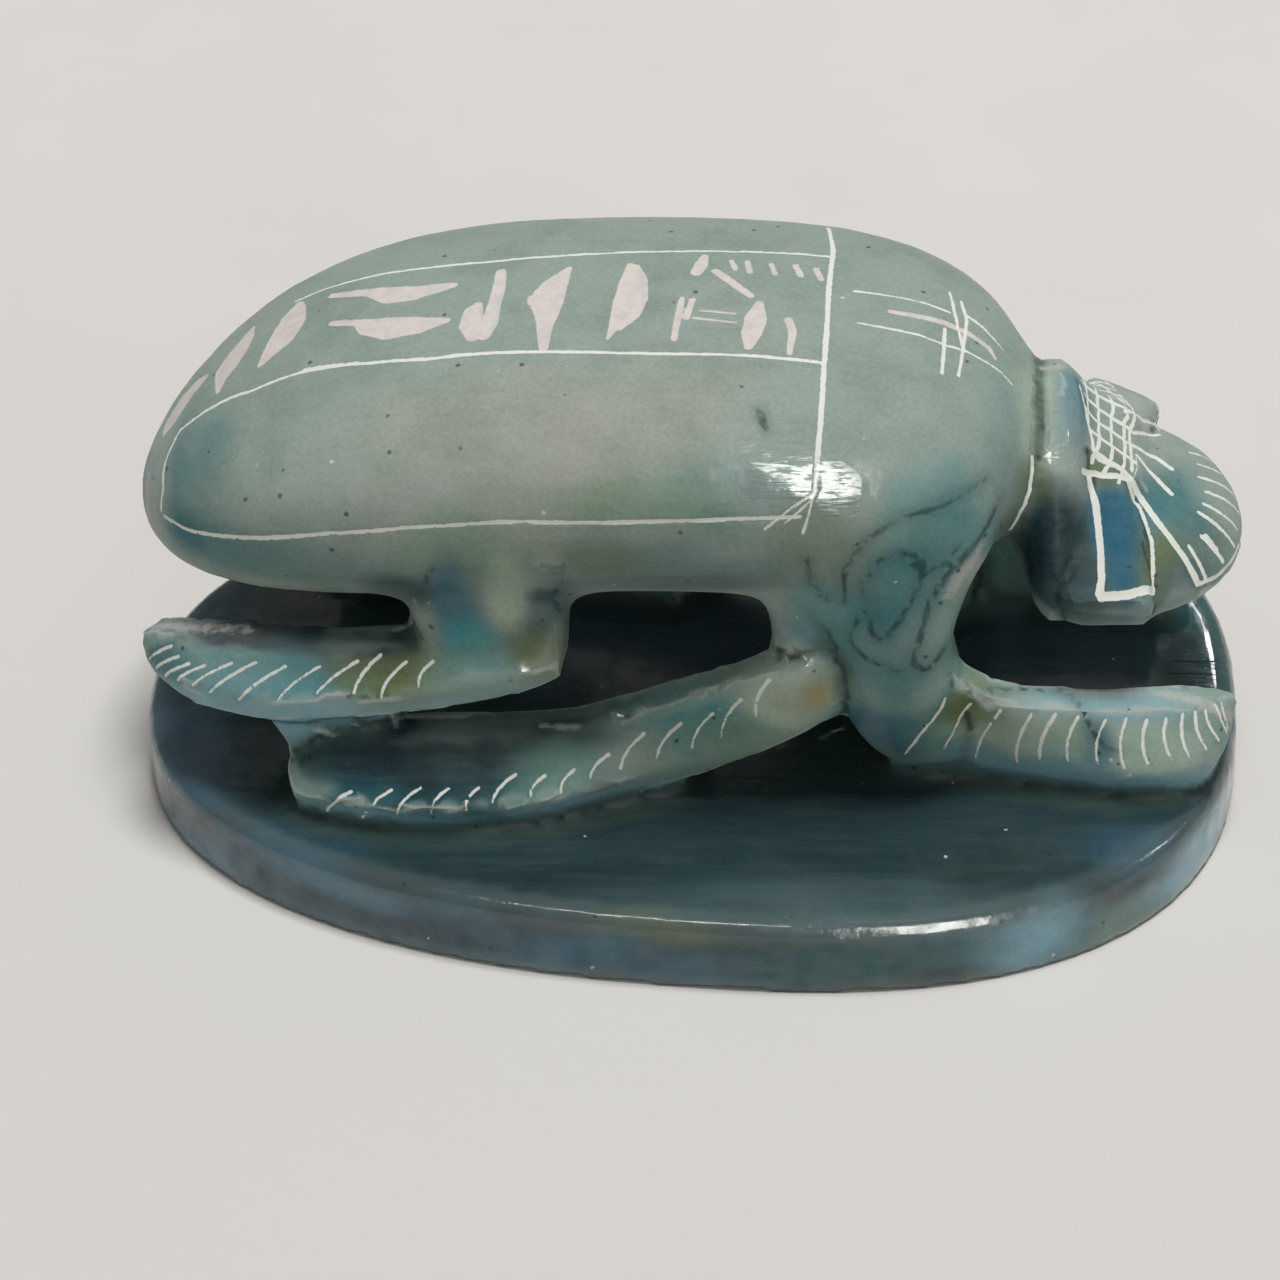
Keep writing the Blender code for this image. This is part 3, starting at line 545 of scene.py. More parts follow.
RUNS_AND_PAINTED_SHADING = [
    ((-42.5, -10.3, 37.4), (9, 10, 8), "teal", 0.5),  # tail
    ((-45.4, -9, 32.1), (9, 10, 6), "teal", 0.9),  # tail edge
    ((-39.2, -14.7, 33.7), (12, 9, 3.6), "teal", 0.35),  # tail low
    ((-28.8, 3.7, 46.8), (12, 9, 5), "celadon", 0.5),  # back by the tail
    ((-12.2, -16.4, 47.2), (19, 9, 10), "sage", 0.8),  # mid grey
    ((-2.2, -13.7, 48.5), (12, 9, 7), "sage", 0.5),  # mid grey right
    ((-24.2, -19.4, 41.5), (14, 5, 3.5), "stone", 0.25),  # lower wing
    ((4.7, -20.2, 42.8), (9, 6, 4), "sea", 0.6),  # lower wing right
    ((-46.8, -5.1, 33.6), (4, 8, 9), "stone", 0.6),  # tail worn
    ((-45.2, -8.8, 29.2), (7, 8, 2), "stone", 0.3),  # tail worn low
    ((-2, -20.4, 42.4), (8, 4, 3), "green", 0.5),  # green by the line
    ((29.4, -7.7, 42.2), (4, 10, 9), "sea", 0.5),  # neck side
    ((22.7, -17.3, 37.6), (9, 6, 6), "turquoise", 0.4),  # front low
    ((19.7, -18.8, 32.4), (7, 6, 6), "teal", 0.7),  # shoulder
    ((25.2, -17.4, 35.6), (5, 6, 7), "teal", 0.6),  # shoulder right
    ((13.2, -19.9, 37.4), (6, 5, 5), "olive", 0.28),  # shoulder ochre
    ((26.3, -16.7, 32.1), (2.4, 4, 2.6), "stone", 0.9),  # front ridge
    ((25, -17.8, 30.9), (1.8, 4, 1.8), "stone", 0.7),  # front ridge low
    ((-31.8, -17.7, 33.9), (13, 7, 4), "teal", 0.3),  # flank left
    ((-16.7, -20.1, 36.8), (9, 6, 4), "green", 0.5),  # flank mid
    ((2, -20.1, 35.9), (13, 6, 3.4), "teal", 0.3),  # flank
    # painted shade: the flank's lower band darkened because it faces down into shade
    ((2.7, -18.9, 32.8), (13, 6, 2.2), "shade", 0.3),  # flank low
    ((-5.7, -20.2, 36.4), (6, 5, 2.5), "olive", 0.4),  # flank olive
    ((-19.4, -18.4, 30.7), (3.4, 6, 6), "blue", 0.85),  # hip blue streak
    ((-17.9, -18.8, 26.6), (3.4, 6, 3.4), "turquoise", 0.8),  # hip blue foot
    ((-13.5, -18.6, 32.2), (2.6, 6, 6), "pale", 0.95),  # hip pale
    ((-10, -17.5, 29), (3, 6, 5), "slate", 0.7),  # hip side
    ((-10.8, -18.2, 31.4), (1.6, 5, 1.2), "dark hollow", 0.9),  # hip crease
    ((-11.8, -18.6, 26.5), (5, 5, 3.4), "slate", 0.6),  # hip grey
    ((-15.8, -19.7, 24.3), (6, 6, 3), "sea", 0.7),  # hip foot
    ((-11, -19, 25.2), (4, 5, 4), "olive", 0.85),  # hip foot olive
    # painted shade: the rear hip's edge under the body darkened because it lies in shadow
    ((-23.8, -17.7, 31.2), (3, 6, 3), "shade", 0.6),  # hip dark
    ((18.8, -19.3, 26.3), (6, 6, 6), "teal", 0.6),  # front hip
    ((13.7, -18.2, 28.6), (5, 6, 5), "turquoise", 0.5),  # front hip left
    ((11, -17.3, 25.7), (3, 5, 3), "slateblue", 0.5),  # front hip pale
    ((17.9, -17.5, 15.3), (4.5, 6, 4.5), "blue", 0.9),  # front hip foot
    ((24, -17.9, 27.9), (3, 6, 6), "sea", 0.6),  # front hip pale
    ((-37.2, -18.2, 21), (15, 5, 3.4), "sky", 0.45),  # rear leg face
    ((-32.6, -18.9, 22.7), (6, 5, 3), "turquoise", 0.3),  # rear leg face teal
    ((-45.4, -14.3, 19.5), (4, 5, 4), "blue", 0.5),  # rear leg tip
    ((-29.9, -18.6, 24.1), (5, 5, 3), "blue", 0.4),  # rear leg face blue
    ((-25, -19.7, 23.4), (5, 5, 4), "olive", 0.85),  # rear leg olive
    ((-22.4, -22.5, 11.8), (12, 6, 3.4), "teal", 0.95),  # middle leg end
    ((-23.3, -22, 12.3), (12, 6, 2.6), "deep", 0.8),  # middle leg end deep
    # painted shadow: the middle leg's upper part darkened where the rear leg and hip shade it
    ((-25.6, -20, 14.3), (16, 5, 3.6), "shade", 0.95),  # middle leg upper
    ((-14.7, -17.1, 15.5), (11, 5, 3.6), "shade", 0.9),  # middle leg upper right
    ((-10.2, -20.6, 11.9), (5, 5, 4), "sea", 0.4),  # middle leg mid
    ((-3.3, -18.3, 11.8), (5, 5, 4), "sage", 0.4),  # middle leg pale
    ((1.2, -16.7, 18.5), (7, 5, 3), "turquoise", 0.6),  # middle leg top
    ((10.1, -18.5, 20), (5, 5, 4.5), "pale", 1),  # knee
    ((11.4, -18.4, 21), (3, 5, 3), "olive", 0.4),  # knee olive
    ((9.3, -17.8, 23.3), (4, 5, 3), "pale", 0.6),  # knee pale
    ((12.1, -18.3, 20.2), (1.7, 4, 1.6), "ochre", 0.4),  # knee ochre
    ((7.3, -17.6, 14.1), (5, 5, 3), "green", 0.5),  # knee low
    ((39.8, -16.7, 13.8), (11, 5, 3.5), "pale", 0.6),  # front leg face
    ((30.1, -16.3, 15), (7, 5, 3.5), "pale", 0.8),  # front leg face left
    ((37.1, -16.7, 13.8), (1.8, 5, 3.4), "blue", 0.7),  # front leg blue
    ((38, -14.7, 17), (11, 4, 1.8), "sky", 0.8),  # front leg top
    ((45.9, -14.9, 14.1), (5, 5, 4), "celadon", 0.5),  # front leg tip
    ((34.5, -16.6, 13.6), (3, 5, 3), "green", 0.5),  # front leg green
    ((26.8, -16.6, 18.4), (4, 5, 3.4), "olive", 0.8),  # front knee
    ((31.2, -2.4, 40.6), (4, 5, 4), "pale", 0.5),  # collar pale
    ((34.8, -1, 39.9), (2, 6, 5), "azure", 0.8),  # collar top
    ((32, -7.1, 38.2), (2.4, 6, 2.4), "pale", 0.2),  # collar
    ((31.3, -8.2, 36.8), (2, 6, 2.4), "olive", 0.6),  # collar crease
    # painted shade: the collar's lower part and the lobe's side darkened because they lie in deep shadow
    ((32.5, -11.8, 32), (6, 7, 7), "shade", 0.97),  # collar low
    ((33.8, -12.3, 30.2), (4.2, 6, 8), "shade", 0.88),  # lobe side
    ((35.2, -14.4, 27.1), (5, 5, 3), "slate", 0.6),  # collar lower
    ((38.6, -8.1, 32.8), (3.4, 6, 6), "blue", 1),  # lobe panel
    ((39.4, -11.7, 30.1), (3, 6, 6), "blue", 0.9),  # lobe panel low
    ((37.7, -4.5, 35.5), (3, 3, 1.6), "olive", 0.7),  # lobe root
    ((40.3, 9, 32.6), (4, 5, 4), "stone", 0.6),  # far lobe
    ((42.1, -10.4, 28.3), (2.8, 4, 3.4), "olive", 0.85),  # fan near
    ((43.2, -4.5, 31.5), (5, 5, 4), "teal", 0.7),  # fan blue
    ((46.1, -7.8, 28), (5, 5, 3.4), "sea green", 0.4),  # fan blue low
    ((43, -11.2, 26.5), (6, 5, 2.4), "slate", 0.7),  # fan low
    ((-46.7, -10.8, 7.4), (8, 30, 1.5), "steel", 0.9),  # plate left
    ((-33.3, -25.1, 5.4), (20, 6, 2), "steel", 0.8),  # plate left low
    ((11.2, -30.9, 7.5), (24, 4, 2), "slate", 0.75),  # plate mid
    # painted light: a lighter blue-grey than the plate's glaze, standing for haze that lifts the shadow
    # under the body
    ((-4.8, 4.2, 7.5), (26, 14, 2), "night", 0.8),  # plate behind
    ((41.5, -23.3, 7.3), (7, 4, 2), "steel", 0.5),  # plate right blue
    # painted light: lightened in the same way where the plate lies in shadow under the head
    ((36.3, 6.2, 7.5), (12, 14, 2), "night", 0.8),  # plate right dark
    ((46.9, 6.3, 7.5), (6, 12, 3), "sea green", 0.8),  # plate right green
    # painted shadow: the plate's top darkened where the legs and body shade it
    ((-4.9, -24.2, 7.5), (24, 8, 2), "shade", 0.5),  # plate front dark
    ((-30.9, -26.3, 0.2), (22, 12, 3.2), "deep", 0.75),  # rim left
    ((-44.7, -16.1, 1.2), (8, 16, 3.2), "steel", 0.7),  # rim far left
    ((-42.6, -18.4, 0.9), (7, 14, 3.2), "blue", 0.6),  # rim far left blue
    ((-1.3, -33.6, 6), (8, 3, 1.6), "olive", 0.35),  # rim green
    ((40.8, -25.3, 1.5), (9, 9, 3.2), "sea", 0.6),  # rim right pale
    ((30.2, -31.5, 3.4), (9, 6, 3.2), "sky", 0.95),  # rim right mid
    ((45.7, -19.1, 2.6), (6, 12, 3.2), "sky", 1),  # rim right end
    ((16.4, -34.2, 3.6), (16, 6, 3.2), "lagoon", 0.9),  # rim mid
    ((-6.3, -33.1, 2.7), (14, 6, 3.2), "blue", 0.8),  # rim mid left
    ((-24, -29.1, 5.1), (16, 5, 2), "blue", 0.5),  # rim left top
]
# Painted shading on the knife's facets, by the upward part of their direction that they start at and are
# full at: painted shade on the downward belly and on leg tops in shadow, and painted light from the table on
# the legs' downward chamfers
FACET_SHADING = [
    # painted shade: downward-facing parts of the belly and hips darkened
    ((-20.3, -19.8, 35.8), (38, 34, 12), "shade", 0.4, (0.1, -0.45)),  # belly shade
    # the rear leg's top: mauve-grey glaze, darkened as painted shadow of the body above it
    ((-40.6, -13.8, 23.8), (12, 9, 5), "mauve", 0.85, (0.5, 0.72)),  # rear leg top
    ((-26.6, -15.7, 25.7), (10, 9, 5), "shade", 0.85, (0.5, 0.72)),  # rear leg top right
    # painted shadow: the middle leg's upward top, shaded by the rear leg
    ((-18.2, -17.2, 15.8), (15, 6, 4), "shade", 0.8, (0.75, 0.95)),  # middle leg top shade
    # painted light: the legs' downward chamfers made pale sky-blue, as light thrown up from the table
    ((-32.9, -19.4, 18.5), (22, 9, 5), "sky", 0.8, (0.25, -0.05)),  # rear leg chamfer
    ((-15.7, -21.1, 7.5), (24, 9, 5), "sky", 0.8, (0.25, -0.05)),  # middle leg chamfer
    ((36.4, -16.5, 8.9), (18, 9, 5), "sky", 0.85, (0.25, -0.05)),  # front leg chamfer
]
# Sheltered places whose edges aren't worn, as (middle, reach)
UNWORN = [
    ((-38.2, -15.2, 24.3), (16, 4, 2.4)),  # rear leg top
    ((39.3, -10.1, 31.3), (4, 7, 8)),  # lobe panel
    ((33.2, -11.3, 33.2), (6, 8, 9)),  # collar
    ((34.3, -12.8, 28.9), (4, 6, 6)),  # lobe side
]
# How much shine the glaze kept, as (middle, reach, share); elsewhere it is rubbed to a satin
SHINY = [
    ((45.5, -13.3, 16.2), (14, 36, 5), 0.05),  # plate right dull
    ((38.6, -10.2, 31.3), (5, 7, 10), 0),  # lobe dull
    ((12.6, -19.2, 44), (9, 5, 5), 1),  # shoulder
    ((9.7, -16.9, 46.7), (3, 3, 2), 0.8),  # small
    ((32.5, -5.6, 39.3), (4, 5, 3), 0.9),  # head
    ((-9.8, -20, 35.6), (2, 3, 2), 0.9),  # hip spot
    ((-13.2, -19.8, 23.8), (1, 2, 0.8), 0.7),  # hip spot low
    ((11, -17.5, 24.2), (3, 3, 2.4), 0.7),  # knee
    ((-3.7, -15.9, 16.4), (2.6, 3, 2), 0.8),  # blob
    ((46.8, 2.6, 7.5), (3, 4, 2), 0.95),  # plate right
    ((17.9, -18.8, 20.3), (6, 6, 5), 0.4),  # front hip
]
tint = {name: np.array(linear(colour)[:3]) for name, colour in TINTS.items()}
BORDER_SEED = 3  # without a seed, noise_vector gives the tints other borders in each run
noise.seed_set(BORDER_SEED)
spread = np.array([noise.noise_vector(Vector(p) / (7 * MM)) for p in points]) * 0.5
blotch = np.array([noise.noise(Vector(p) / (4.2 * MM) + Vector((9, 3, 5))) for p in points])
on_plate = ramp(points[:, 2] / MM, 9.5, 7.8)[:, None]
low_down = ramp(points[:, 2] / MM, 30.0, 19.0)[:, None]
colour = tint["celadon"] * (1 - low_down) + tint["sea"] * low_down
colour = colour * (1 - on_plate) + tint["plate"] * on_plate


def nearness(middle, reach):
    """1 inside an area, 0 well outside it, with a wandering border as wide as the area allows."""
    where = points / MM + spread * min(reach) - np.array(middle)
    return ramp(np.linalg.norm(where / np.array(reach), axis=1), 1.25, 0.35)


for middle, reach, name, strength in RUNS_AND_PAINTED_SHADING:
    share = np.clip(strength * nearness(middle, reach) * (1 + 0.35 * blotch), 0, 1)[:, None]
    colour = colour * (1 - share) + tint[name] * share
for middle, reach, name, strength, (start, end) in FACET_SHADING:
    share = strength * nearness(middle, reach) * ramp(normals[:, 2], start, end)
    colour = colour * (1 - share[:, None]) + tint[name] * share[:, None]
unworn = np.max([nearness(middle, reach) for middle, reach in UNWORN], axis=0)
store(mesh, "ridge", ridge_gap + 2 * unworn)
store(mesh, "bulge", bulge * (1 - unworn))
shine = 0.5 * on_plate[:, 0] + 0.12
for middle, reach, strength in SHINY:
    shine = shine + (strength - shine) * nearness(middle, reach)
shine = shine * (1 - ramp(bulge, -0.02, -0.12))
store(mesh, "shine", shine)
hollow = ramp(bulge, -0.03, -0.22)[:, None]
colour = colour * (1 - 0.6 * hollow) + tint["dark hollow"] * 0.6 * hollow
grey = colour.mean(1)[:, None]
colour = np.clip(grey + (colour - grey) * SATURATION, 0, 1)
attribute = mesh.color_attributes.new("glaze", "FLOAT_COLOR", "POINT")
four = np.column_stack([colour, np.ones(len(colour))]).astype(np.float32)
attribute.data.foreach_set("color", four.ravel())

def add(tree, kind, settings=None, out=0, **inputs):
    """Adds a shader node with its settings, its inputs given as values or as sockets to link, and returns
    one of its outputs. An input is named as its socket, with underscores for spaces, or i0, i1 by place."""
    node = tree.nodes.new("ShaderNode" + kind)
    for name, value in (settings or {}).items():
        setattr(node, name, value)
    for name, value in inputs.items():
        key = int(name[1:]) if name[0] == "i" and name[1:].isdigit() else name.replace("_", " ")
        if isinstance(value, bpy.types.NodeSocket):
            tree.links.new(value, node.inputs[key])
        else:
            node.inputs[key].default_value = value
    return node.outputs[out] if len(node.outputs) else node


def new_material(name):
    material = bpy.data.materials.new(name)
    material.use_nodes = True
    tree = material.node_tree
    tree.nodes.clear()
    return material, tree


# The glaze is a thin glass on soft stone: satin where it is rubbed, shiny where it ran thick
glaze, net = new_material("glazed_stone")
spot = add(net, "TexCoord", None, "Object")
mm_spot = add(net, "VectorMath", {"operation": "SCALE"}, Vector=spot, Scale=1 / MM)
TIMES, PLUS, MINUS, MOST = ({"operation": kind} for kind in ("MULTIPLY", "ADD", "SUBTRACT", "MAXIMUM"))
SMOOTH = {"interpolation_type": "SMOOTHSTEP"}
PAINT = {"data_type": "RGBA"}
GLAZED = {"data_type": "RGBA", "blend_type": "MULTIPLY"}

tone = add(net, "Attribute", {"attribute_name": "glaze"}, "Color")
(
    ridge_gap, crease_gap, bulging, scuff_gap, stain_gap, line_gap, patch_gap, brow_gap, shininess
) = (
    add(net, "Attribute", {"attribute_name": kept}, "Fac")
    for kept in ("ridge", "crease", "bulge", "scuff", "stain", "scratch", "mark", "net", "shine")
)
# Fine mottling of the glaze, drawn out along the object by the brush
cloud = add(net, "TexNoise", Vector=mm_spot, Scale=0.16, Detail=4.0, Roughness=0.55)
share = add(net, "MapRange", SMOOTH, i0=cloud, i1=0.4, i2=0.7, i3=0.0, i4=0.4)
second = add(net, "Mix", GLAZED, 2, i0=1.0, i6=tone, i7=linear("#c9d8cf"))
tone = add(net, "Mix", PAINT, 2, i0=share, i6=tone, i7=second)
along = add(net, "VectorMath", {"operation": "MULTIPLY"}, i0=mm_spot, i1=(0.12, 1.0, 1.0))
brushed = add(net, "TexNoise", Vector=along, Scale=1.1, Detail=4.0, Roughness=0.6)
level = add(net, "SeparateXYZ", None, "Z", Vector=mm_spot)
streaky = add(net, "MapRange", SMOOTH, i0=level, i1=8.0, i2=12.0, i3=0.03, i4=0.05)
share = add(net, "Math", TIMES, i0=add(net, "MapRange", SMOOTH, i0=brushed, i1=0.42, i2=0.7), i1=streaky)
tone = add(net, "Mix", PAINT, 2, i0=share, i6=tone, i7=linear("#a9b8ac"))
first = add(net, "MapRange", SMOOTH, i0=brushed, i1=0.28, i2=0.5, i3=1.0, i4=0.0)
share = add(net, "Math", TIMES, i0=first, i1=streaky)
tone = add(net, "Mix", PAINT, 2, i0=share, i6=tone, i7=linear("#33464a"))
# A fine grain all over
raw = add(net, "TexNoise", Vector=mm_spot, Scale=2.4, Detail=5.0, Roughness=0.75)
share = add(net, "MapRange", SMOOTH, i0=raw, i1=0.32, i2=0.68)
grain = add(net, "Mix", PAINT, 2, i0=share, i6=(0.94, 0.94, 0.94, 1), i7=(1.12, 1.12, 1.12, 1))
tone = add(net, "Mix", GLAZED, 2, i0=1.0, i6=tone, i7=grain)
# Pale flecks where a grain of the stone shows
flecks = add(net, "TexVoronoi", {"feature": "F1"}, "Distance", Vector=mm_spot, Scale=0.21)
first = add(net, "TexNoise", Vector=mm_spot, Scale=2.3, Detail=3.0, Roughness=0.55)
second = add(net, "Math", TIMES, i0=first, i1=0.14)
flecks = add(net, "Math", PLUS, i0=flecks, i1=second)
share = add(net, "MapRange", SMOOTH, i0=flecks, i1=0.085, i2=0.115, i3=0.7, i4=0.0)
tone = add(net, "Mix", PAINT, 2, i0=share, i6=tone, i7=linear("#dfe4dc"))
# Worn paler along the edges, darker along the creases, and rubbed off in places
first = add(net, "TexNoise", Vector=mm_spot, Scale=0.8, Detail=5.0, Roughness=0.7)
first = add(net, "Math", MINUS, i0=first, i1=0.5)
chipped = add(net, "Math", TIMES, i0=first, i1=1.1)
raised = add(net, "MapRange", SMOOTH, i0=level, i1=8.5, i2=12.0, i3=0.25, i4=1.0)
raw = add(net, "Math", PLUS, i0=ridge_gap, i1=chipped)
first = add(net, "MapRange", SMOOTH, i0=raw, i1=0.02, i2=0.42, i3=0.7, i4=0.0)
worn = add(net, "Math", TIMES, i0=first, i1=raised)
tone = add(net, "Mix", PAINT, 2, i0=worn, i6=tone, i7=linear("#b3bdb8"))
raw = add(net, "Math", PLUS, i0=crease_gap, i1=chipped)
share = add(net, "MapRange", SMOOTH, i0=raw, i1=0.0, i2=0.5, i3=0.6, i4=0.0)
tone = add(net, "Mix", PAINT, 2, i0=share, i6=tone, i7=linear("#26312f"))
first = add(net, "MapRange", SMOOTH, i0=bulging, i1=0.05, i2=0.25, i3=0.0, i4=0.38)
share = add(net, "Math", TIMES, i0=first, i1=raised)
tone = add(net, "Mix", PAINT, 2, i0=share, i6=tone, i7=linear("#a9b8b0"))
first = add(net, "TexNoise", Vector=mm_spot, Scale=1.1, Detail=5.0, Roughness=0.7)
first = add(net, "Math", MINUS, i0=first, i1=0.5)
uneven = add(net, "Math", TIMES, i0=first, i1=2.4)
scuffed = add(net, "Math", PLUS, i0=scuff_gap, i1=uneven)
share = add(net, "MapRange", SMOOTH, i0=scuffed, i1=-0.3, i2=0.5, i3=0.8, i4=0.0)
tone = add(net, "Mix", PAINT, 2, i0=share, i6=tone, i7=linear("#b9bcb6"))
# Dark specks and pinholes
dots = add(net, "TexVoronoi", {"feature": "F1"}, "Distance", Vector=mm_spot, Scale=0.32)
first = add(net, "TexNoise", Vector=mm_spot, Scale=1.9, Detail=3.0, Roughness=0.55)
second = add(net, "Math", TIMES, i0=first, i1=0.16)
dots = add(net, "Math", PLUS, i0=dots, i1=second)
speck = add(net, "MapRange", SMOOTH, i0=dots, i1=0.12, i2=0.17, i3=1.0, i4=0.0)
share = add(net, "Math", TIMES, i0=speck, i1=0.7)
tone = add(net, "Mix", PAINT, 2, i0=share, i6=tone, i7=linear("#2c3430"))
# Dark rims where the glaze dried
first = add(net, "TexNoise", Vector=mm_spot, Scale=0.9, Detail=4.0, Roughness=0.6)
first = add(net, "Math", MINUS, i0=first, i1=0.5)
wavering = add(net, "Math", TIMES, i0=first, i1=0.5)
raw = add(net, "TexNoise", Vector=mm_spot, Scale=0.4, Detail=3.0, Roughness=0.55)
broken = add(net, "MapRange", SMOOTH, i0=raw, i1=0.32, i2=0.6, i3=0.35, i4=0.72)
raw = add(net, "Math", PLUS, i0=stain_gap, i1=wavering)
stain = add(net, "MapRange", SMOOTH, i0=raw, i1=-0.12, i2=0.18, i3=1.0, i4=0.0)
share = add(net, "MapRange", SMOOTH, i0=stain_gap, i1=0.0, i2=1.1, i3=0.22, i4=0.0)
tone = add(net, "Mix", PAINT, 2, i0=share, i6=tone, i7=linear("#2f5156"))
share = add(net, "Math", TIMES, i0=stain, i1=broken)
tone = add(net, "Mix", PAINT, 2, i0=share, i6=tone, i7=linear("#223a3b"))
# Scratches down to the white stone, with ragged edges, and broader rubbed-in marks
first = add(net, "TexNoise", Vector=mm_spot, Scale=1.7, Detail=3.0, Roughness=0.6)
first = add(net, "Math", MINUS, i0=first, i1=0.5)
ragged = add(net, "Math", TIMES, i0=first, i1=0.22)
first = add(net, "TexNoise", Vector=mm_spot, Scale=0.2, Detail=2.0, Roughness=0.55)
first = add(net, "Math", MINUS, i0=first, i1=0.5)
pressed = add(net, "Math", TIMES, i0=first, i1=0.2)
ragged = add(net, "Math", PLUS, i0=ragged, i1=pressed)
raw = add(net, "Math", PLUS, i0=line_gap, i1=ragged)
scratch = add(net, "MapRange", SMOOTH, i0=raw, i1=-0.03, i2=0.06, i3=1.0, i4=0.0)
raw = add(net, "Math", PLUS, i0=patch_gap, i1=ragged)
mark = add(net, "MapRange", SMOOTH, i0=raw, i1=-0.05, i2=0.06, i3=1.0, i4=0.0)
raw = add(net, "TexNoise", Vector=mm_spot, Scale=0.9, Detail=4.0, Roughness=0.65)
dusty = add(net, "MapRange", SMOOTH, i0=raw, i1=0.3, i2=0.62, i3=0.7, i4=0.95)
# The net on the brow: lines from side to side and lines down it, each a little unsteady
unsteady = add(net, "TexNoise", None, "Color", Vector=mm_spot, Scale=0.6)
wander = (0.7, 0.7, 0.7)
shifted = add(net, "VectorMath", {"operation": "MULTIPLY_ADD"}, i0=unsteady, i1=wander, i2=mm_spot)
parts = add(net, "SeparateXYZ", Vector=shifted).node.outputs
NET_ACROSS, NET_DOWN = 2.1, 1.5  # mm between lines
NET_LINE, NET_SOFT = 0.25, 0.05  # mm: a line's half-width, and half its soft edge
lines = []
down = add(net, "Math", MINUS, i0=parts["X"], i1=parts["Z"])
for place, gap in ((parts["Y"], NET_ACROSS), (down, NET_DOWN * math.sqrt(2))):
    wave = add(net, "Math", {"operation": "PINGPONG"}, i0=place, i1=gap / 2)
    inner, outer = NET_LINE - NET_SOFT, NET_LINE + NET_SOFT
    lines.append(add(net, "MapRange", SMOOTH, i0=wave, i1=inner, i2=outer, i3=1.0, i4=0.0))
second = add(net, "MapRange", SMOOTH, i0=brow_gap, i1=-0.1, i2=0.1, i3=1.0, i4=0.0)
netting = add(net, "Math", TIMES, i0=add(net, "Math", MOST, i0=lines[0], i1=lines[1]), i1=second)
share = add(net, "Math", TIMES, i0=mark, i1=dusty)
tone = add(net, "Mix", PAINT, 2, i0=share, i6=tone, i7=linear("#e2d9d3"))
bare = add(net, "Math", MOST, i0=scratch, i1=netting)
share = add(net, "Math", TIMES, i0=bare, i1=0.93)
tone = add(net, "Mix", PAINT, 2, i0=share, i6=tone, i7=linear("#eef0e8"))
bare = add(net, "Math", MOST, i0=bare, i1=mark)
first = add(net, "TexNoise", Vector=mm_spot, Scale=1.0, Detail=3.0, Roughness=0.55)
second = add(net, "Math", TIMES, i0=first, i1=0.45)
first = add(net, "TexNoise", Vector=mm_spot, Scale=0.3, Detail=2.0, Roughness=0.55)
waves = add(net, "Math", PLUS, i0=first, i1=second)
second = add(net, "MapRange", SMOOTH, i0=shininess, i1=0.65, i2=1.0, i3=0.25, i4=1.2)
second = add(net, "Math", TIMES, i0=brushed, i1=second)
waves = add(net, "Math", PLUS, i0=waves, i1=second)
drawn = add(net, "VectorMath", {"operation": "MULTIPLY"}, i0=mm_spot, i1=(0.22, 2.6, 2.6))
drawn = add(net, "TexNoise", Vector=drawn, Scale=1.0, Detail=3.0, Roughness=0.6)
second = add(net, "MapRange", SMOOTH, i0=shininess, i1=0.55, i2=1.0, i3=0.05, i4=1.6)
second = add(net, "Math", TIMES, i0=drawn, i1=second)
waves = add(net, "Math", PLUS, i0=waves, i1=second)
relief = add(net, "Bump", Strength=0.8, Distance=0.12 * MM, Height=waves)
raw = add(net, "TexNoise", Vector=mm_spot, Scale=0.5, Detail=4.0, Roughness=0.55)
second = add(net, "MapRange", SMOOTH, i0=raw, i1=0.3, i2=0.7, i3=-0.12, i4=0.12)
patchy = add(net, "Math", PLUS, i0=shininess, i1=second)
second = add(net, "MapRange", SMOOTH, i0=shininess, i1=0.66, i2=0.85, i3=0.0, i4=0.65)
first = add(net, "MapRange", SMOOTH, i0=drawn, i1=0.4, i2=0.5, i3=1.0, i4=0.0)
gaps = add(net, "Math", TIMES, i0=first, i1=second)
patchy = add(net, "Math", TIMES, i0=patchy, i1=add(net, "Math", MINUS, i0=1.0, i1=gaps))
first = add(net, "MapRange", SMOOTH, i0=patchy, i1=0.0, i2=0.9, i3=0.46, i4=0.13)
gloss = add(net, "Math", PLUS, i0=first, i1=add(net, "Math", TIMES, i0=bare, i1=0.35))
specular = add(net, "MapRange", SMOOTH, i0=patchy, i1=0.15, i2=0.7, i3=0.07, i4=0.5)
coated = add(net, "MapRange", SMOOTH, i0=patchy, i1=0.25, i2=1.0, i3=0.0, i4=0.8)
shader = add(
    net, "BsdfPrincipled", Base_Color=tone, Roughness=gloss, Normal=relief, IOR=1.5,
    Specular_IOR_Level=specular, Coat_Weight=coated, Coat_Roughness=0.05, Coat_IOR=1.5,
)
add(net, "OutputMaterial", Surface=shader)

mesh.materials.clear()
mesh.materials.append(glaze)
mesh.shade_smooth()
scarab = bpy.data.objects.new("scarab_glazed", mesh)
bpy.context.scene.collection.objects.link(scarab)
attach(scarab, "root")
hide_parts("scarab")


# The table top: a matt, nearly white board with a faint warm cast, painted. It only carries the scarab, and
# is a little paler away from the viewer.

table_paint, top_net = new_material("table_top")
spot = add(top_net, "TexCoord", None, "Object")
depth = add(top_net, "SeparateXYZ", None, "Y", Vector=spot)
depth = add(top_net, "MapRange", SMOOTH, i0=depth, i1=-90 * MM, i2=220 * MM)
paint = add(top_net, "Mix", PAINT, 2, i0=depth, i6=linear("#dfdcd8"), i7=linear("#ebe8e4"))
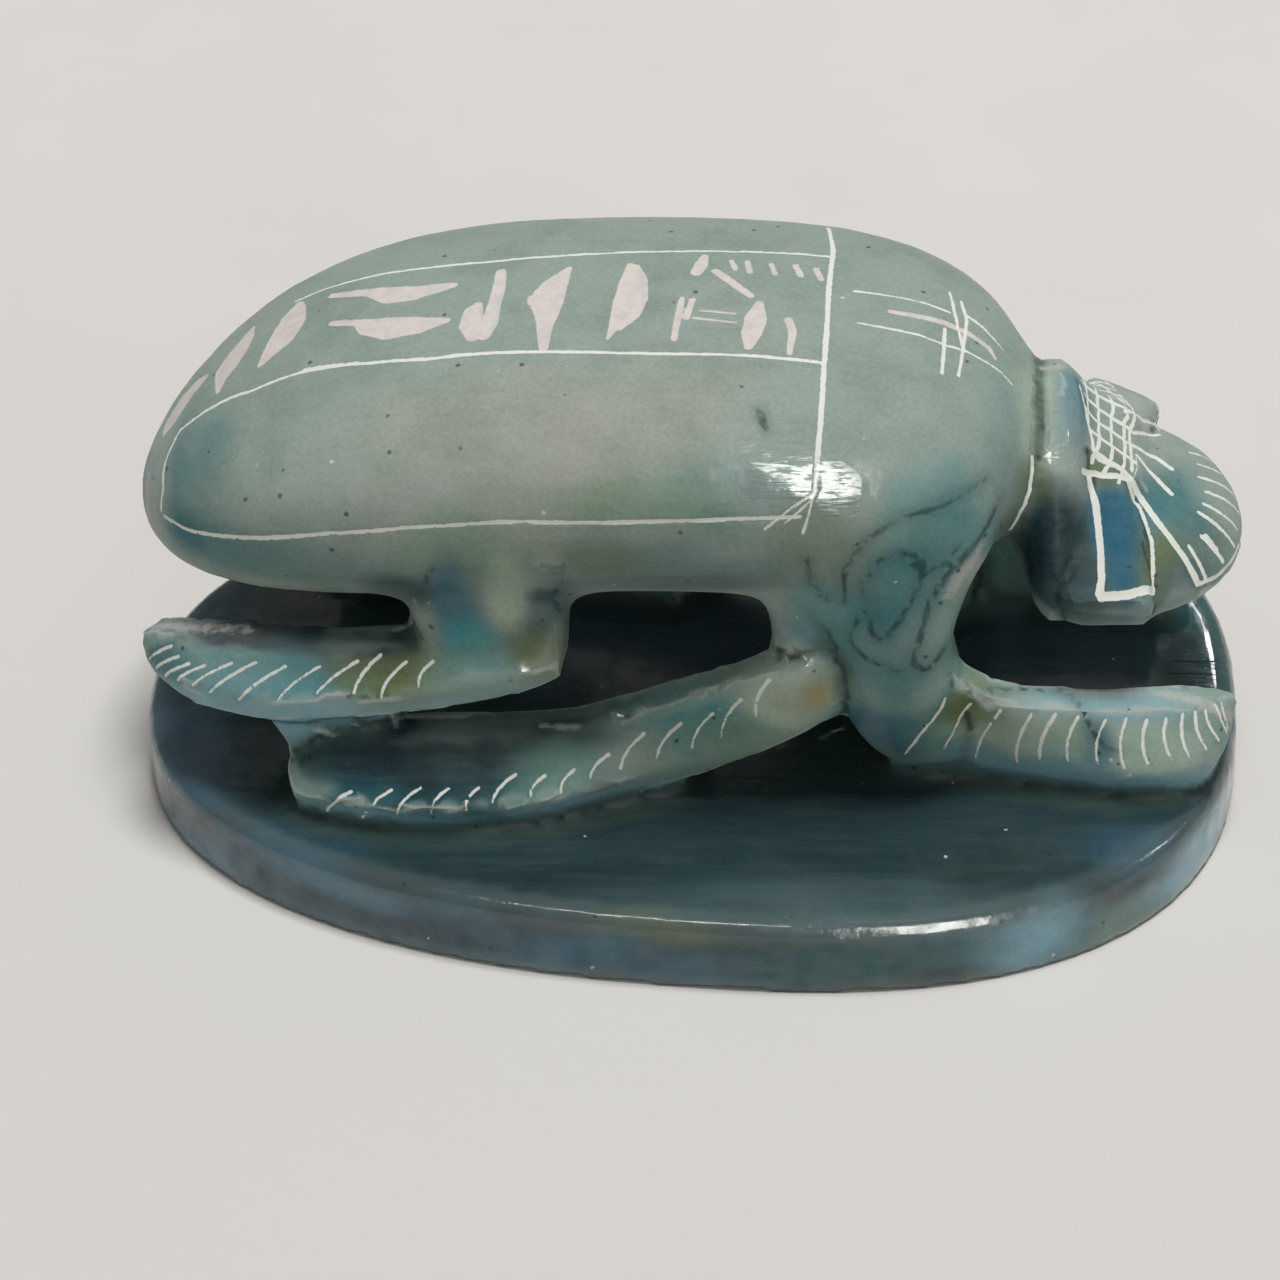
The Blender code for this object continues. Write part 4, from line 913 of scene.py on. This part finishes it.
# Faint clouds about 30 mm across, as on a sheet that isn't quite clean
clouds = add(top_net, "TexNoise", Vector=spot, Scale=0.03 / MM, Detail=3.0, Roughness=0.55)
clouds = add(top_net, "MapRange", SMOOTH, i0=clouds, i1=0.35, i2=0.7, i3=0.0, i4=0.3)
paint = add(top_net, "Mix", PAINT, 2, i0=clouds, i6=paint, i7=linear("#dfdbd7"))
shader = add(top_net, "BsdfPrincipled", Base_Color=paint, Roughness=0.8, Specular_IOR_Level=0.1)
add(top_net, "OutputMaterial", Surface=shader)
shape = bmesh.new()
bmesh.ops.create_grid(shape, x_segments=1, y_segments=1, size=2.0)
top = bpy.data.meshes.new("table_top")
shape.to_mesh(top)
shape.free()
top.materials.append(table_paint)
floor = bpy.data.objects.new("table_top", top)
bpy.context.scene.collection.objects.link(floor)
floor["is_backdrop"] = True


# The camera: held by hand 45 cm away and 38 degrees up, a little to the head's side and not quite level,
# with a lens long enough that the plate fills the frame.

CAMERA_TURN, CAMERA_RISE, CAMERA_ROLL = (math.radians(angle) for angle in (5.0, 38.0, 2.7))
CAMERA_AWAY = 0.450
AIM = Vector((-0.0057, 0.0153, 0.0))
FOCAL_LENGTH = 132.5


def direction(turn, rise):
    """The way from the object to something at that turn and rise, in radians; turn 0 is in front of it."""
    return Vector((math.sin(turn) * math.cos(rise), -math.cos(turn) * math.cos(rise), math.sin(rise)))


lens = bpy.data.cameras.new("camera")
lens.lens = FOCAL_LENGTH
lens.clip_start = 0.01
camera = bpy.data.objects.new("camera", lens)
away = direction(CAMERA_TURN, CAMERA_RISE)
across = Vector((math.cos(CAMERA_TURN), math.sin(CAMERA_TURN), 0))
upright = away.cross(across)
side = across * math.cos(CAMERA_ROLL) - upright * math.sin(CAMERA_ROLL)
over = upright * math.cos(CAMERA_ROLL) + across * math.sin(CAMERA_ROLL)
place = Matrix((side, over, away)).transposed().to_4x4()
place.translation = AIM + away * CAMERA_AWAY
camera.matrix_world = place
bpy.context.scene.collection.objects.link(camera)
bpy.context.scene.camera = camera


# Daylight: a bright room lit from overhead, and a window behind the camera's right shoulder. The panes
# further round only show as small reflections in the glaze.

world = bpy.data.worlds.new("room")
world.use_nodes = True
room = world.node_tree.nodes["Background"]
room.inputs["Color"].default_value = linear("#f4f2f0")
room.inputs["Strength"].default_value = 0.21
bpy.context.scene.world = world


def window(name, turn, rise, away, width, tall, watts, colour, shows=True, lights=True):
    """A rectangle of light that faces the object. It may show in the gloss only, or light unseen."""
    light = bpy.data.lights.new(name, "AREA")
    light.shape = "RECTANGLE"
    light.size = width
    light.size_y = tall
    light.energy = watts
    light.color = linear(colour)[:3]
    thing = bpy.data.objects.new(name, light)
    way = direction(math.radians(turn), math.radians(rise))
    thing.location = way * away
    thing.rotation_mode = "QUATERNION"
    thing.rotation_quaternion = way.to_track_quat("Z", "Y")
    thing.visible_glossy = shows
    thing.visible_diffuse = lights
    bpy.context.scene.collection.objects.link(thing)


window("ceiling light", 70, 83, 1.5, 0.4, 0.4, 16.0, "#ffffff", shows=False)
window("window light", 19, 35, 1.4, 0.6, 0.6, 0.9, "#fffdf8", shows=False)
window("window pane", 19, 24, 1.4, 0.42, 1.3, 26.0, "#fffdf8", lights=False)
window("right pane", 98, 38, 1.5, 0.14, 0.14, 1.6, "#f6fbff", lights=False)
window("far pane", 167, 36, 1.5, 0.1, 0.07, 0.6, "#ffffff", lights=False)
window("rim pane", -26, 66, 1.5, 0.36, 0.1, 2.2, "#ffffff", lights=False)

bpy.context.scene.view_settings.view_transform = "Standard"

low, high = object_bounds()
